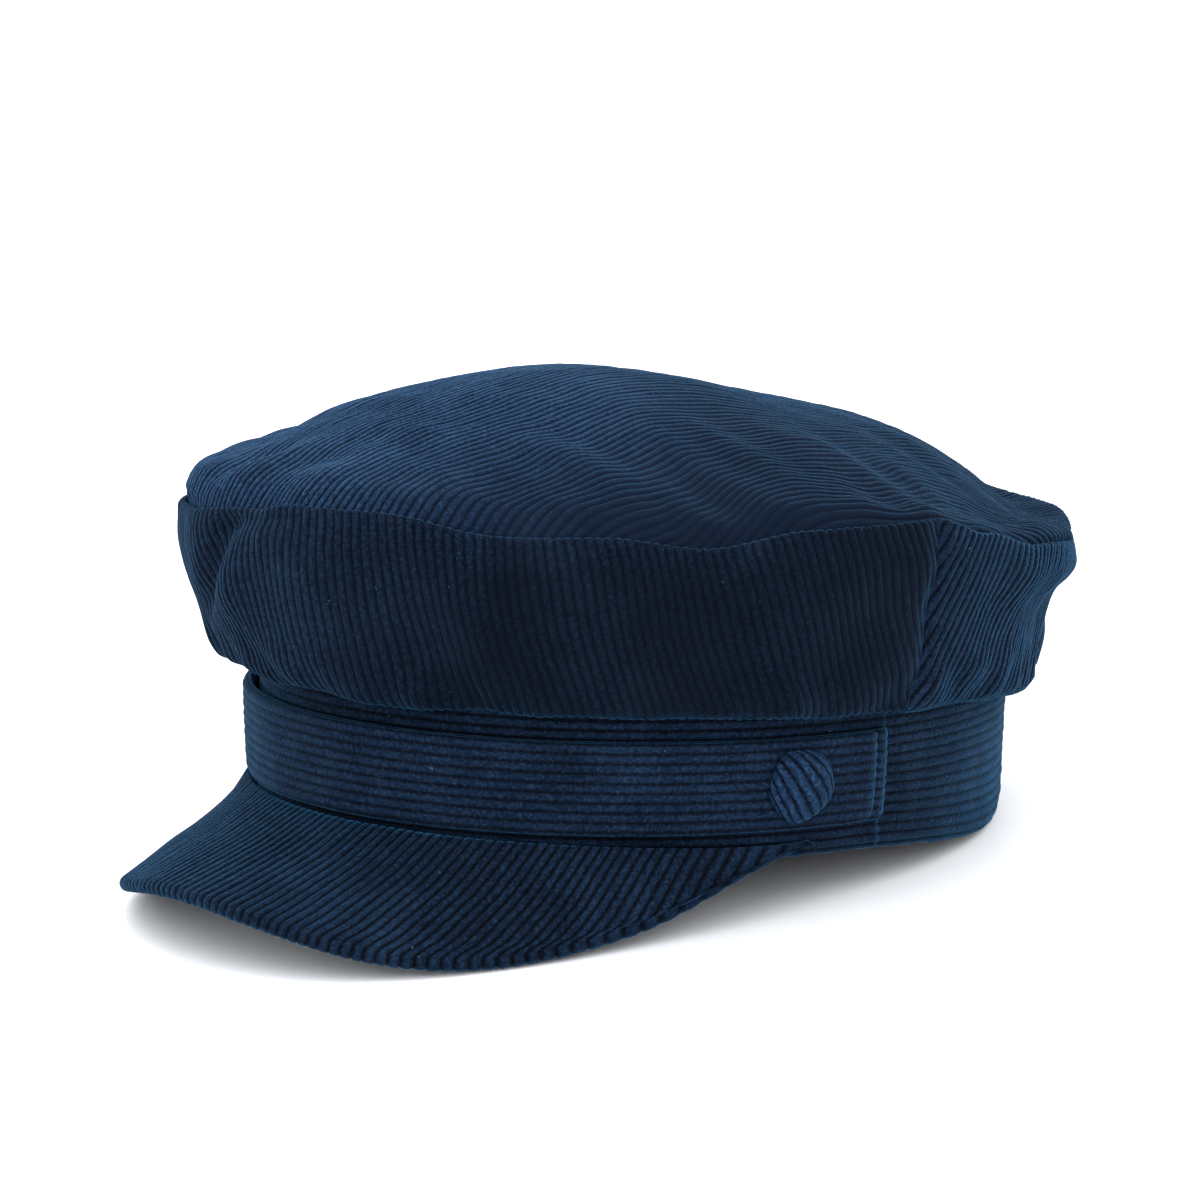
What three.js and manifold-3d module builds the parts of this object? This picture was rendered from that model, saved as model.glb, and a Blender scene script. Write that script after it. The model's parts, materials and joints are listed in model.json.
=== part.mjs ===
// A corduroy baker-boy cap with a stiffened peak, a front strap held by two covered buttons, a padded band
// and a satin lining. Millimetres, +Z up, the front of the cap towards -Y and the wearer's left towards +X.
// The pieces are drawn in the cap's own frame, whose origin is the centre of the head opening on the plane of
// the band's bottom edge. The finished cap then leans back until it rests on its peak and its band's back.

import * as THREE from 'three';
import { mergeVertices } from 'three/addons/utils/BufferGeometryUtils.js';
import Module from 'manifold-3d';

// Head opening and the layers of the band, from the head outwards.
const HEAD_HALF_WIDTH = 80.6;
const HEAD_HALF_LENGTH = 99.9;
const SWEATBAND_THICK = 1.0;
const INTERLINING_THICK = 0.8;
const CORDUROY_THICK = 1.8;
const LAYER_GAP = 0.3;
const BAND_STACK = SWEATBAND_THICK + INTERLINING_THICK + CORDUROY_THICK + 2 * LAYER_GAP;
const BAND_HALF_WIDTH = HEAD_HALF_WIDTH + BAND_STACK;
const BAND_HALF_LENGTH = HEAD_HALF_LENGTH + BAND_STACK;
const BAND_HEIGHT = 36;
const SWEATBAND_TOP = 38;
const INTERLINING_TOP = 34;
const INNER_LAYER_BOTTOM = 0.8;

// Crown: side profile as (distance outside the band's face, height), through the middle of the cloth.
const CROWN_SIDE_PROFILE = [
  [-0.4, 37.6], [1.9, 36.2], [4.6, 36.6], [7.4, 39.6], [9.7, 45],
  [11.2, 51], [13.8, 61], [16.3, 69], [17.4, 76.6],
];
const CROWN_FRONT_FULLNESS = 1.6;
const CROWN_SEAM_OUT = 15.6;
const CROWN_SEAM_HEIGHT = 76;
const DOME_RISE = 32.5;
const DOME_FULLNESS = 2.2;
const DOME_ROUNDNESS = 0.7;
const DOME_FRONT_LEAN = 0.13;
const SIDE_SEAM_GAP = 0.2;

// Lining: side profile in the same terms, and the oval tip that closes it.
const LINING_THICK = 0.8;
const LINING_SIDE_PROFILE = [[-1.6, 39.8], [1.6, 41.5], [5.2, 47], [8, 54], [10.6, 62.5], [12.6, 70]];
const LINING_TIP_OUT = 11.2;
const LINING_TIP_HEIGHT = 70.6;
const LINING_TIP_RISE = 30;
const LABEL_SIZE = [34, 0.5, 18];
const LABEL_HEIGHT = 20;

// Peak: it leaves the band's foot along the front arc. It is ruled from back to front, with the front part
// sloping gently and the sides steeply, so that it arches over the forehead and droops at the temples.
const PEAK_HALF_WIDTH = 83;
const PEAK_REACH = 41;
const PEAK_END_REACH = 3;
const PEAK_OUTLINE_SQUARENESS = 5;
const PEAK_OUTLINE_TAPER = 1.3;
const PEAK_SLOPE_FRONT = THREE.MathUtils.degToRad(18.5);
const PEAK_SLOPE_SIDE = THREE.MathUtils.degToRad(43);
const PEAK_ROOT_FRONT = 2.4;
const PEAK_ROOT_SIDE = -1.6;
const PEAK_ROOT_GAP = 0.8;
const PEAK_ROOT_SHARE = 0.1;
const PEAK_TUCK_CLEARANCE = 3.4;
const PEAK_COVER_THICK = 1.2;
const PEAK_BOARD_THICK = 1.2;
const PEAK_BOARD_INSET = 1.4;

// Strap: two layers that run round the front, close to the band at the ends and loose in the middle.
const STRAP_BOTTOM = 7.5;
const STRAP_TOP = 29;
const STRAP_END_ANGLE = THREE.MathUtils.degToRad(2.2);
const STRAP_BACKING_REACH = 4.5;
const STRAP_END_GAP = 0.5;
const STRAP_FRONT_GAP = 1.5;
const STRAP_BACKING_THICK = 0.8;
const STRAP_FACE_THICK = 1.2;

// Covered buttons, on their sewn shanks.
const BUTTON_ANGLE = THREE.MathUtils.degToRad(15.2);
const BUTTON_RADIUS = 8.5;
const BUTTON_DOME = 4.6;
const BUTTON_SKIN = 0.7;
const BUTTON_SHELL = 0.5;
const BUTTON_LIFT = 0.5;
const BUTTON_PLATE_THICK = 0.7;
const BUTTON_SHOULDER = 0.3;
const BUTTON_HEM = 0.2;
const SHANK_HALF_SPAN = 1.3;
const SHANK_WIRE_RADIUS = 0.4;
const SHANK_LEG = 0.6;
const STITCH_HALF_SPAN = 1.5;
const STITCH_RADIUS = 0.35;
const STITCH_LEG = 0.4;
const STITCH_DEPTH = 2.6;
const STRAP_HOLE_RADIUS = 2.4;

// How finely the curved pieces are drawn: steps round the cap, then steps across the cloth.
const BAND_STEPS = [48, 1];
const SIDE_STEPS = [30, 8];
const SIDE_LINING_STEPS = [24, 4];
const TOP_STEPS = [40, 7];
const TOP_LINING_STEPS = [28, 5];
const PEAK_STEPS = [30, 5];
const STRAP_STEPS = [44, 1];
const CUT_STEPS = 64;
const HOLE_STEPS = 16;
const BUTTON_STEPS = [18, 5];
const WIRE_STEPS = [10, 3];

const HALF_TURN = Math.PI;
const QUARTER_TURN = Math.PI / 2;
const FULL_TURN = 2 * Math.PI;
const STRAP_MIDDLE = (STRAP_BOTTOM + STRAP_TOP) / 2;

const wasm = await Module();
wasm.setup();

// Materials

function cloth(colour, roughness) {
  return new THREE.MeshStandardMaterial({ color: colour, roughness, metalness: 0 });
}

const corduroy = () => cloth(0x1e2e42, 0.95);
const satin = () => cloth(0x14181f, 0.45);
const twill = () => cloth(0x12161d, 0.8);
const canvas = () => cloth(0xd8d2c4, 0.9);
const thread = () => cloth(0x18243a, 0.8);
const labelWeave = () => cloth(0xc9c6bd, 0.7);
const peakBoard = () => cloth(0xe6e6e2, 0.5);

function buttonMetal() {
  return new THREE.MeshStandardMaterial({ color: 0xb9bcc0, roughness: 0.35, metalness: 1 });
}

// Surfaces

// A point at a distance outside the band's face; the angle runs from the wearer's left towards the front.
function ovalPoint(out, angle, height) {
  const x = (BAND_HALF_WIDTH + out) * Math.cos(angle);
  const y = -(BAND_HALF_LENGTH + out) * Math.sin(angle);
  return new THREE.Vector3(x, y, height);
}

function ovalNormal(out, angle) {
  const x = Math.cos(angle) / (BAND_HALF_WIDTH + out);
  const y = -Math.sin(angle) / (BAND_HALF_LENGTH + out);
  return new THREE.Vector3(x, y, 0).normalize();
}

function geometryFrom(points, triangles) {
  const geometry = new THREE.BufferGeometry();
  const positions = points.flatMap((point) => point.toArray());
  geometry.setAttribute('position', new THREE.Float32BufferAttribute(positions, 3));
  geometry.setIndex(facingOut(points, triangles));
  geometry.computeVertexNormals();
  return geometry;
}

// The triangles in an order that makes the solid's volume positive.
function facingOut(points, triangles) {
  let volume = 0;
  for (let i = 0; i < triangles.length; i += 3) {
    const [a, b, c] = [points[triangles[i]], points[triangles[i + 1]], points[triangles[i + 2]]];
    volume += a.dot(b.clone().cross(c));
  }
  return volume > 0 ? triangles : triangles.reverse();
}

// A closed sheet: face(u, v) and back(u, v) give its two sides for u and v from 0 to 1, joined at the borders.
function sheetSolid(face, back, [uSteps, vSteps], ring = false) {
  const points = [];
  const columns = ring ? uSteps : uSteps + 1;
  for (const side of [face, back]) {
    for (let i = 0; i < columns; i++) {
      for (let j = 0; j <= vSteps; j++) points.push(side(i / uSteps, j / vSteps));
    }
  }
  const at = (side, i, j) => side * columns * (vSteps + 1) + (i % columns) * (vSteps + 1) + j;
  const triangles = [];
  const quad = (a, b, c, d) => triangles.push(a, b, c, a, c, d);
  for (let i = 0; i < uSteps; i++) {
    for (let j = 0; j < vSteps; j++) {
      quad(at(0, i, j), at(0, i + 1, j), at(0, i + 1, j + 1), at(0, i, j + 1));
      quad(at(1, i, j), at(1, i, j + 1), at(1, i + 1, j + 1), at(1, i + 1, j));
    }
    quad(at(0, i, 0), at(1, i, 0), at(1, i + 1, 0), at(0, i + 1, 0));
    quad(at(0, i, vSteps), at(0, i + 1, vSteps), at(1, i + 1, vSteps), at(1, i, vSteps));
  }
  for (let j = 0; j < vSteps && !ring; j++) {
    quad(at(0, 0, j), at(0, 0, j + 1), at(1, 0, j + 1), at(1, 0, j));
    quad(at(0, uSteps, j), at(1, uSteps, j), at(1, uSteps, j + 1), at(0, uSteps, j + 1));
  }
  return geometryFrom(points, triangles);
}

// A closed oval dome of rings round a centre point; face and back take an angle and a radius from 0 to 1.
function domeSolid(face, back, [turns, rings]) {
  const points = [face(0, 0), back(0, 0)];
  for (let ring = 1; ring <= rings; ring++) {
    for (let i = 0; i < turns; i++) {
      points.push(face((i / turns) * FULL_TURN, ring / rings));
      points.push(back((i / turns) * FULL_TURN, ring / rings));
    }
  }
  const at = (side, ring, i) => 2 + 2 * ((ring - 1) * turns + (i % turns)) + side;
  const triangles = [];
  const quad = (a, b, c, d) => triangles.push(a, b, c, a, c, d);
  for (let i = 0; i < turns; i++) {
    triangles.push(0, at(0, 1, i), at(0, 1, i + 1), 1, at(1, 1, i + 1), at(1, 1, i));
    for (let ring = 1; ring < rings; ring++) {
      quad(at(0, ring, i), at(0, ring + 1, i), at(0, ring + 1, i + 1), at(0, ring, i + 1));
      quad(at(1, ring, i), at(1, ring, i + 1), at(1, ring + 1, i + 1), at(1, ring + 1, i));
    }
    quad(at(0, rings, i), at(1, rings, i), at(1, rings, i + 1), at(0, rings, i + 1));
  }
  return geometryFrom(points, triangles);
}

// Solids for cutting

function toManifold(geometry) {
  const plain = geometry.clone();
  plain.deleteAttribute('normal');
  plain.deleteAttribute('uv');
  const merged = mergeVertices(plain, 1e-4);
  const vertProperties = new Float32Array(merged.attributes.position.array);
  const triVerts = new Uint32Array(merged.index.array);
  return new wasm.Manifold(new wasm.Mesh({ numProp: 3, vertProperties, triVerts }));
}

function fromManifold(solid) {
  const mesh = solid.getMesh();
  const geometry = new THREE.BufferGeometry();
  geometry.setAttribute('position', new THREE.Float32BufferAttribute(mesh.vertProperties, 3));
  geometry.setIndex(Array.from(mesh.triVerts));
  geometry.computeVertexNormals();
  return geometry;
}

function cutAway(geometry, ...tools) {
  const body = tools.reduce((solid, tool) => solid.subtract(toManifold(tool)), toManifold(geometry));
  return fromManifold(body);
}

function named(name, geometry, material) {
  const mesh = new THREE.Mesh(geometry, material);
  mesh.name = name;
  return mesh;
}

// Band

// A plain oval hoop between two distances from the band's face.
function hoop(inner, outer, bottom, top) {
  const wall = (out) => (u, v) => ovalPoint(out, u * FULL_TURN, bottom + v * (top - bottom));
  return sheetSolid(wall(outer), wall(inner), BAND_STEPS, true);
}

function makeBand() {
  const band = new THREE.Group();
  const sweatbandOut = -BAND_STACK + SWEATBAND_THICK;
  const canvasIn = sweatbandOut + LAYER_GAP;
  const canvasOut = canvasIn + INTERLINING_THICK;
  const cover = hoop(-CORDUROY_THICK, 0, 0, BAND_HEIGHT);
  const interlining = hoop(canvasIn, canvasOut, INNER_LAYER_BOTTOM, INTERLINING_TOP);
  const sweatband = hoop(-BAND_STACK, sweatbandOut, INNER_LAYER_BOTTOM, SWEATBAND_TOP);
  band.add(named('band_cover', cover, corduroy()));
  band.add(named('band_interlining', interlining, canvas()));
  band.add(named('sweatband', sweatband, twill()));
  const label = named('size_label', new THREE.BoxGeometry(...LABEL_SIZE), labelWeave());
  const sag = HEAD_HALF_LENGTH * (1 - Math.sqrt(1 - (LABEL_SIZE[0] / 2 / HEAD_HALF_WIDTH) ** 2));
  label.position.set(0, HEAD_HALF_LENGTH - sag - LABEL_SIZE[1] / 2 - LAYER_GAP, LABEL_HEIGHT);
  band.add(label);
  return band;
}

// Crown

// One half of a crown or lining wall: the profile swept round part of the oval, with the cloth's thickness.
function wallHalf(profile, thick, start, end, fullness, steps) {
  const curve = new THREE.SplineCurve(profile.map(([out, height]) => new THREE.Vector2(out, height)));
  const side = (sign) => (u, v) => {
    const angle = start + u * (end - start);
    const point = curve.getPoint(v);
    const tangent = curve.getTangent(v);
    const swell = fullness * Math.sin(HALF_TURN * v) * Math.sin(angle);
    const out = point.x + swell + sign * (thick / 2) * tangent.y;
    return ovalPoint(out, angle, point.y - sign * (thick / 2) * tangent.x);
  };
  return sheetSolid(side(1), side(-1), steps);
}

function domeHeight(rise, angle, radius) {
  const arch = Math.pow(Math.max(0, 1 - Math.pow(radius, DOME_FULLNESS)), DOME_ROUNDNESS);
  return rise * arch * (1 + DOME_FRONT_LEAN * radius * Math.sin(angle));
}

// An oval tip whose rim lies at a given distance outside the band's face.
function ovalTip(rimOut, rimHeight, rise, thick, steps) {
  const side = (drop) => (angle, radius) => {
    const rim = ovalPoint(rimOut, angle, 0);
    const height = rimHeight + domeHeight(rise, angle, radius) - drop;
    return new THREE.Vector3(rim.x * radius, rim.y * radius, height);
  };
  return domeSolid(side(0), side(thick), steps);
}

function makeCrown() {
  const crown = new THREE.Group();
  const gap = SIDE_SEAM_GAP / BAND_HALF_LENGTH;
  const halves = [['front', gap, HALF_TURN - gap], ['back', HALF_TURN + gap, FULL_TURN - gap]];
  for (const [place, start, end] of halves) {
    const cloth = [CORDUROY_THICK, start, end, CROWN_FRONT_FULLNESS, SIDE_STEPS];
    crown.add(named(`crown_side_${place}`, wallHalf(CROWN_SIDE_PROFILE, ...cloth), corduroy()));
    const lining = [LINING_THICK, start, end, 0, SIDE_LINING_STEPS];
    crown.add(named(`lining_side_${place}`, wallHalf(LINING_SIDE_PROFILE, ...lining), satin()));
  }
  const top = ovalTip(CROWN_SEAM_OUT, CROWN_SEAM_HEIGHT, DOME_RISE, CORDUROY_THICK, TOP_STEPS);
  crown.add(named('crown_top', top, corduroy()));
  const tip = ovalTip(LINING_TIP_OUT, LINING_TIP_HEIGHT, LINING_TIP_RISE, LINING_THICK, TOP_LINING_STEPS);
  crown.add(named('lining_top', tip, satin()));
  return crown;
}

// Peak

// The peak's upper surface: u runs round the front from the wearer's left, v from the root to the free edge.
function peakPoint(u, v) {
  const x = PEAK_HALF_WIDTH * Math.cos(HALF_TURN * u);
  const side = Math.abs(x) / PEAK_HALF_WIDTH;
  const angle = Math.acos(x / (BAND_HALF_WIDTH + PEAK_ROOT_GAP));
  const outline = Math.pow(1 - Math.pow(side, PEAK_OUTLINE_SQUARENESS), PEAK_OUTLINE_TAPER);
  const reach = v * (PEAK_END_REACH + (PEAK_REACH - PEAK_END_REACH) * outline);
  const slope = PEAK_SLOPE_FRONT + (PEAK_SLOPE_SIDE - PEAK_SLOPE_FRONT) * side * side;
  const root = PEAK_ROOT_FRONT + (PEAK_ROOT_SIDE - PEAK_ROOT_FRONT) * side * side;
  const point = ovalPoint(PEAK_ROOT_GAP, angle, root);
  point.y -= reach;
  point.z -= reach * Math.tan(slope);
  return point;
}

// The way out of the upper surface, from its slopes along and across the peak.
function peakNormal(u, v) {
  const step = 1e-3;
  const across = Math.max(v, PEAK_ROOT_SHARE);
  const along = peakPoint(Math.min(1, u + step), across).sub(peakPoint(Math.max(0, u - step), across));
  const outward = peakPoint(u, 1).sub(peakPoint(u, 0));
  const normal = along.cross(outward).normalize();
  return normal.z < 0 ? normal.negate() : normal;
}

// One layer of the peak between two depths below its upper surface, its free edge drawn in by the inset.
function peakLayer(topDepth, bottomDepth, inset) {
  const at = (depth) => (u, v) => {
    const trimmed = v * (1 - inset / PEAK_REACH);
    return peakPoint(u, trimmed).addScaledVector(peakNormal(u, v), -depth);
  };
  return sheetSolid(at(topDepth), at(bottomDepth), PEAK_STEPS);
}

// The room inside and just under the band that the peak keeps out of as it flexes.
function bandClearance() {
  const height = 2 * PEAK_TUCK_CLEARANCE + BAND_HEIGHT;
  const block = new THREE.CylinderGeometry(1, 1, height, CUT_STEPS);
  block.rotateX(QUARTER_TURN);
  block.scale(BAND_HALF_WIDTH + PEAK_ROOT_GAP, BAND_HALF_LENGTH + PEAK_ROOT_GAP, 1);
  block.translate(0, 0, height / 2 - PEAK_TUCK_CLEARANCE);
  return block;
}

function makePeak() {
  const peak = new THREE.Group();
  const boardTop = PEAK_COVER_THICK + LAYER_GAP;
  const underTop = boardTop + PEAK_BOARD_THICK + LAYER_GAP;
  const room = bandClearance();
  const layers = [
    ['peak_top_cover', peakLayer(0, PEAK_COVER_THICK, 0), corduroy()],
    ['peak_board', peakLayer(boardTop, boardTop + PEAK_BOARD_THICK, PEAK_BOARD_INSET), peakBoard()],
    ['peak_under_cover', peakLayer(underTop, underTop + PEAK_COVER_THICK, 0), corduroy()],
  ];
  for (const [name, layer, material] of layers) peak.add(named(name, cutAway(layer, room), material));
  return peak;
}

// Strap

function strapGap(angle) {
  return STRAP_END_GAP + (STRAP_FRONT_GAP - STRAP_END_GAP) * Math.sin(angle);
}

function strapLayer(depth, thick, extraReach) {
  const start = STRAP_END_ANGLE - extraReach / BAND_HALF_LENGTH;
  const wall = (out) => (u, v) => {
    const angle = start + u * (HALF_TURN - 2 * start);
    const clear = strapGap(Math.min(HALF_TURN, Math.max(0, angle)));
    return ovalPoint(clear + out, angle, STRAP_BOTTOM + v * (STRAP_TOP - STRAP_BOTTOM));
  };
  return sheetSolid(wall(depth + thick), wall(depth), STRAP_STEPS);
}

function makeStrap(buttonFrames) {
  const strap = new THREE.Group();
  const holes = buttonFrames.map((frame) => {
    const length = 4 * BUTTON_RADIUS;
    const drill = new THREE.CylinderGeometry(STRAP_HOLE_RADIUS, STRAP_HOLE_RADIUS, length, HOLE_STEPS);
    drill.rotateX(QUARTER_TURN);
    return drill.applyMatrix4(frame);
  });
  const backing = strapLayer(0, STRAP_BACKING_THICK, STRAP_BACKING_REACH);
  const face = strapLayer(STRAP_BACKING_THICK + LAYER_GAP, STRAP_FACE_THICK, 0);
  strap.add(named('strap_backing', cutAway(backing, ...holes), corduroy()));
  strap.add(named('strap_face', cutAway(face, ...holes), corduroy()));
  return strap;
}

// Buttons: each is drawn with its axis along +Z and its back at the origin, then set on the strap.

function buttonFrame(angle) {
  const strapFace = strapGap(angle) + STRAP_BACKING_THICK + LAYER_GAP + STRAP_FACE_THICK;
  const outward = ovalNormal(strapFace, angle);
  const up = new THREE.Vector3(0, 0, 1);
  const across = up.clone().cross(outward);
  const place = ovalPoint(strapFace, angle, STRAP_MIDDLE).addScaledVector(outward, BUTTON_LIFT);
  return new THREE.Matrix4().makeBasis(across, up, outward).setPosition(place);
}

// The quarter curve of a button's dome, from its crown down to its shoulder.
function domeCurve(radius, height, shoulder, steps) {
  const points = [];
  for (let i = 0; i <= steps; i++) {
    const turn = (i / steps) * QUARTER_TURN;
    const x = i === 0 ? 0 : radius * Math.sin(turn);
    points.push(new THREE.Vector2(x, shoulder + (height - shoulder) * Math.cos(turn)));
  }
  return points;
}

// A domed cup of even thickness, its foot drawn in by the hem.
function buttonCup(radius, height, wall, hem) {
  const [turns, rings] = BUTTON_STEPS;
  const shoulder = BUTTON_SHOULDER * height;
  const foot = [
    new THREE.Vector2(radius - wall - hem, BUTTON_HEM),
    new THREE.Vector2(radius - hem, 0),
  ];
  const inside = domeCurve(radius - wall, height - wall, shoulder, rings);
  const outside = domeCurve(radius, height, shoulder, rings).reverse();
  const cup = new THREE.LatheGeometry([...inside, ...foot, ...outside], turns);
  cup.rotateX(QUARTER_TURN);
  return closedCopy(cup);
}

// The geometry with its repeated seam and axis points joined.
function closedCopy(geometry) {
  return fromManifold(toManifold(geometry));
}

// A round wire or thread bent into a staple: two legs joined by a half turn, opening towards +Z.
function staple(halfSpan, radius, legLength) {
  const [steps, curveSegments] = WIRE_STEPS;
  const points = [new THREE.Vector3(-halfSpan, 0, legLength)];
  for (let turn = -QUARTER_TURN; turn <= QUARTER_TURN; turn += QUARTER_TURN / 2) {
    points.push(new THREE.Vector3(halfSpan * Math.sin(turn), 0, -halfSpan * Math.cos(turn)));
  }
  points.push(new THREE.Vector3(halfSpan, 0, legLength));
  const extrudePath = new THREE.CatmullRomCurve3(points);
  const section = new THREE.Shape();
  section.absarc(0, 0, radius, 0, FULL_TURN);
  return closedCopy(new THREE.ExtrudeGeometry(section, { steps, extrudePath, curveSegments }));
}

function makeButton(side, frame) {
  const button = new THREE.Group();
  const shellRadius = BUTTON_RADIUS - BUTTON_SKIN - LAYER_GAP;
  const shellHeight = BUTTON_DOME - BUTTON_SKIN - LAYER_GAP;
  const plateRadius = shellRadius - BUTTON_SHELL - 2 * LAYER_GAP;
  const cover = buttonCup(BUTTON_RADIUS, BUTTON_DOME, BUTTON_SKIN, BUTTON_HEM);
  const shell = buttonCup(shellRadius, shellHeight, BUTTON_SHELL, 0);
  const plate = new THREE.CylinderGeometry(plateRadius, plateRadius, BUTTON_PLATE_THICK, BUTTON_STEPS[0]);
  plate.rotateX(QUARTER_TURN);
  plate.translate(0, 0, BUTTON_PLATE_THICK / 2);
  const shank = staple(SHANK_HALF_SPAN, SHANK_WIRE_RADIUS, SHANK_LEG);
  shank.rotateZ(QUARTER_TURN);
  shank.translate(0, 0, -SHANK_LEG - LAYER_GAP);
  button.add(named(`${side}_button_cover`, cover, corduroy()));
  button.add(named(`${side}_button_shell`, shell, buttonMetal()));
  button.add(named(`${side}_button_plate`, plate, buttonMetal()));
  button.add(named(`${side}_button_shank`, shank, buttonMetal()));
  button.applyMatrix4(frame);
  return button;
}

// The stitch that ties a shank to the band: a staple of thread whose legs run to the band's face.
function makeStitch(side, frame) {
  const stitch = new THREE.Group();
  const loop = staple(STITCH_HALF_SPAN, STITCH_RADIUS, STITCH_LEG);
  loop.rotateX(HALF_TURN);
  loop.translate(0, 0, -STITCH_DEPTH);
  stitch.add(named(`${side}_button_stitch`, loop, thread()));
  stitch.applyMatrix4(frame);
  return stitch;
}

// Assembly

// How far the cap leans back before its peak and the back of its band stand on one floor.
function leanAngle(peak) {
  const position = new THREE.Vector3();
  let lean = 0;
  peak.traverse((piece) => {
    if (!piece.isMesh) return;
    const points = piece.geometry.attributes.position;
    for (let i = 0; i < points.count; i++) {
      position.fromBufferAttribute(points, i);
      lean = Math.max(lean, Math.atan2(-position.z, BAND_HALF_LENGTH - position.y));
    }
  });
  return lean;
}

function makeCap() {
  const cap = new THREE.Group();
  const frames = { left: buttonFrame(BUTTON_ANGLE), right: buttonFrame(HALF_TURN - BUTTON_ANGLE) };
  const peak = makePeak();
  cap.add(makeBand(), makeCrown(), peak, makeStrap(Object.values(frames)));
  for (const [side, frame] of Object.entries(frames)) {
    cap.add(makeButton(side, frame), makeStitch(side, frame));
  }
  cap.rotation.x = -leanAngle(peak);
  return cap;
}

// The row's origin: the middle of the cap's footprint, on the surface that it rests on.
function standOnFloor(cap) {
  const stand = new THREE.Group();
  stand.add(cap);
  stand.updateMatrixWorld(true);
  const box = new THREE.Box3().setFromObject(stand, true);
  const centre = box.getCenter(new THREE.Vector3());
  cap.position.sub(new THREE.Vector3(centre.x, centre.y, box.min.z));
  stand.updateMatrixWorld(true);
  return stand;
}

const group = standOnFloor(makeCap());

export default group;
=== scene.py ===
import json
import math

import bmesh
import bpy
import numpy as np
from mathutils import Matrix, Vector


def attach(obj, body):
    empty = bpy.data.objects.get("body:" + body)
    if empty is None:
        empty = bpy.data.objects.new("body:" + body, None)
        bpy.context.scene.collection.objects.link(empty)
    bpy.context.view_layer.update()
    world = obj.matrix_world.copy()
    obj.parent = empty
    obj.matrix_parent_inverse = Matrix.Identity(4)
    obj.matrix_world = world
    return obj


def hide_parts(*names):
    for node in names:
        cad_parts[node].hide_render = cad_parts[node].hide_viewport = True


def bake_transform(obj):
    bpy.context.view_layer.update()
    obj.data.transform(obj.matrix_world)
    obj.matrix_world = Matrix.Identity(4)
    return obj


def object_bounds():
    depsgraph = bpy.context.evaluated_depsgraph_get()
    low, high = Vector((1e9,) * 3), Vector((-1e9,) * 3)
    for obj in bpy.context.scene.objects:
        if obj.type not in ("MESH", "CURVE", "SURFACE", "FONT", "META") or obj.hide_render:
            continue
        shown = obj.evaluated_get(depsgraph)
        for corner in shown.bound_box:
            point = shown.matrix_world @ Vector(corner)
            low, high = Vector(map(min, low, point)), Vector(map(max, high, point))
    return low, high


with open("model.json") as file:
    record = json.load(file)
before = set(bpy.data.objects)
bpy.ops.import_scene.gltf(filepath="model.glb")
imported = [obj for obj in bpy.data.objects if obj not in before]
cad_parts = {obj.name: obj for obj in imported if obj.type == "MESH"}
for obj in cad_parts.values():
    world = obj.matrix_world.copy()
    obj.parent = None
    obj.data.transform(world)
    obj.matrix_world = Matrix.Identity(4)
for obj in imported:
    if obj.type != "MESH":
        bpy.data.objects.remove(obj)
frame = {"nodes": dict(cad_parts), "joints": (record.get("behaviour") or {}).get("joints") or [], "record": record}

CAD_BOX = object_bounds()

# A corduroy baker-boy cap. Shapes are worked out in the cap's own frame, in millimetres: the origin is
# the middle of the head opening, +X is the wearer's left, -Y the front and +Z up. Angles round the cap
# run from the wearer's left (0) by the front (90) and the right (180) to the back (270).

MM = 0.001
FULL_TURN = 2 * math.pi
CLOTH_RADIUS = 95

WALE_PITCH = 2.3
WALE_HEIGHT = 0.44
WALE_SQUARENESS = 2.8
WALE_UNEVEN = [(0.18, 37.0, 9, 5), (0.06, 53.0, 3.4, 6)]
WALE_SPREAD = (0.4, 1.5)
COLUMNS_PER_WALE = 8
CORDUROY_THICK = 1.4
SATIN_THICK = 0.5
SMALL_STEPS = (0.002, 0.002)


# ---------------- the cap's own frame

OPENING = next(m for m in frame["record"]["mounts"] if m["name"] == "head_opening")
CAP_ORIGIN = np.array(OPENING["pos_m"])
CAP_UP = -np.array(OPENING["axis"])
CAP_LEFT = np.array([1.0, 0.0, 0.0])
CAP_BACK = np.cross(CAP_UP, CAP_LEFT)
CAP_AXES = np.stack([CAP_LEFT, CAP_BACK, CAP_UP])


def to_row(points):
    """Points of the cap's frame, in millimetres, as points of the row frame, in metres."""
    return CAP_ORIGIN + (np.asarray(points, float) * MM) @ CAP_AXES


def to_cap(points):
    """The other way round."""
    return ((np.asarray(points, float) - CAP_ORIGIN) / MM) @ CAP_AXES.T


def cad_points(node):
    """A CAD node's corners, in the cap's frame."""
    return to_cap([v.co for v in frame["nodes"][node].data.vertices])


def cap_box(node):
    """Lowest and highest corner of a CAD node, in the cap's frame."""
    points = cad_points(node)
    return points.min(0), points.max(0)


DOME_SETTLED = 0.93
HALF_WIDTH, HALF_LENGTH, BAND_TOP = cap_box("band_cover")[1]
TOP_LOW, TOP_HIGH = cap_box("crown_top")
SEAM_OUT = TOP_HIGH[0] - HALF_WIDTH
DOME_RISE = (TOP_HIGH[2] - TOP_LOW[2]) * DOME_SETTLED
SEAM_HEIGHT = TOP_LOW[2]
PEAK_LOW, PEAK_HIGH = cap_box("peak_top_cover")
INSIDE_FACE = cap_box("sweatband")[1][0] - HALF_WIDTH


def oval(out, angle, height):
    """A point that stands out from the band's face, at an angle round the cap and at a height."""
    out, angle, height = np.broadcast_arrays(out, angle, height)
    return np.stack([
        (HALF_WIDTH + out) * np.cos(angle),
        -(HALF_LENGTH + out) * np.sin(angle),
        height,
    ], axis=-1)


# ---------------- small tools for shapes

CURVE_POINTS = 400


def smooth(low, high, value):
    """0 below low, 1 above high, and an S-shaped rise between them."""
    t = np.clip((value - low) / (high - low), 0, 1)
    return t * t * (3 - 2 * t)


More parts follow.
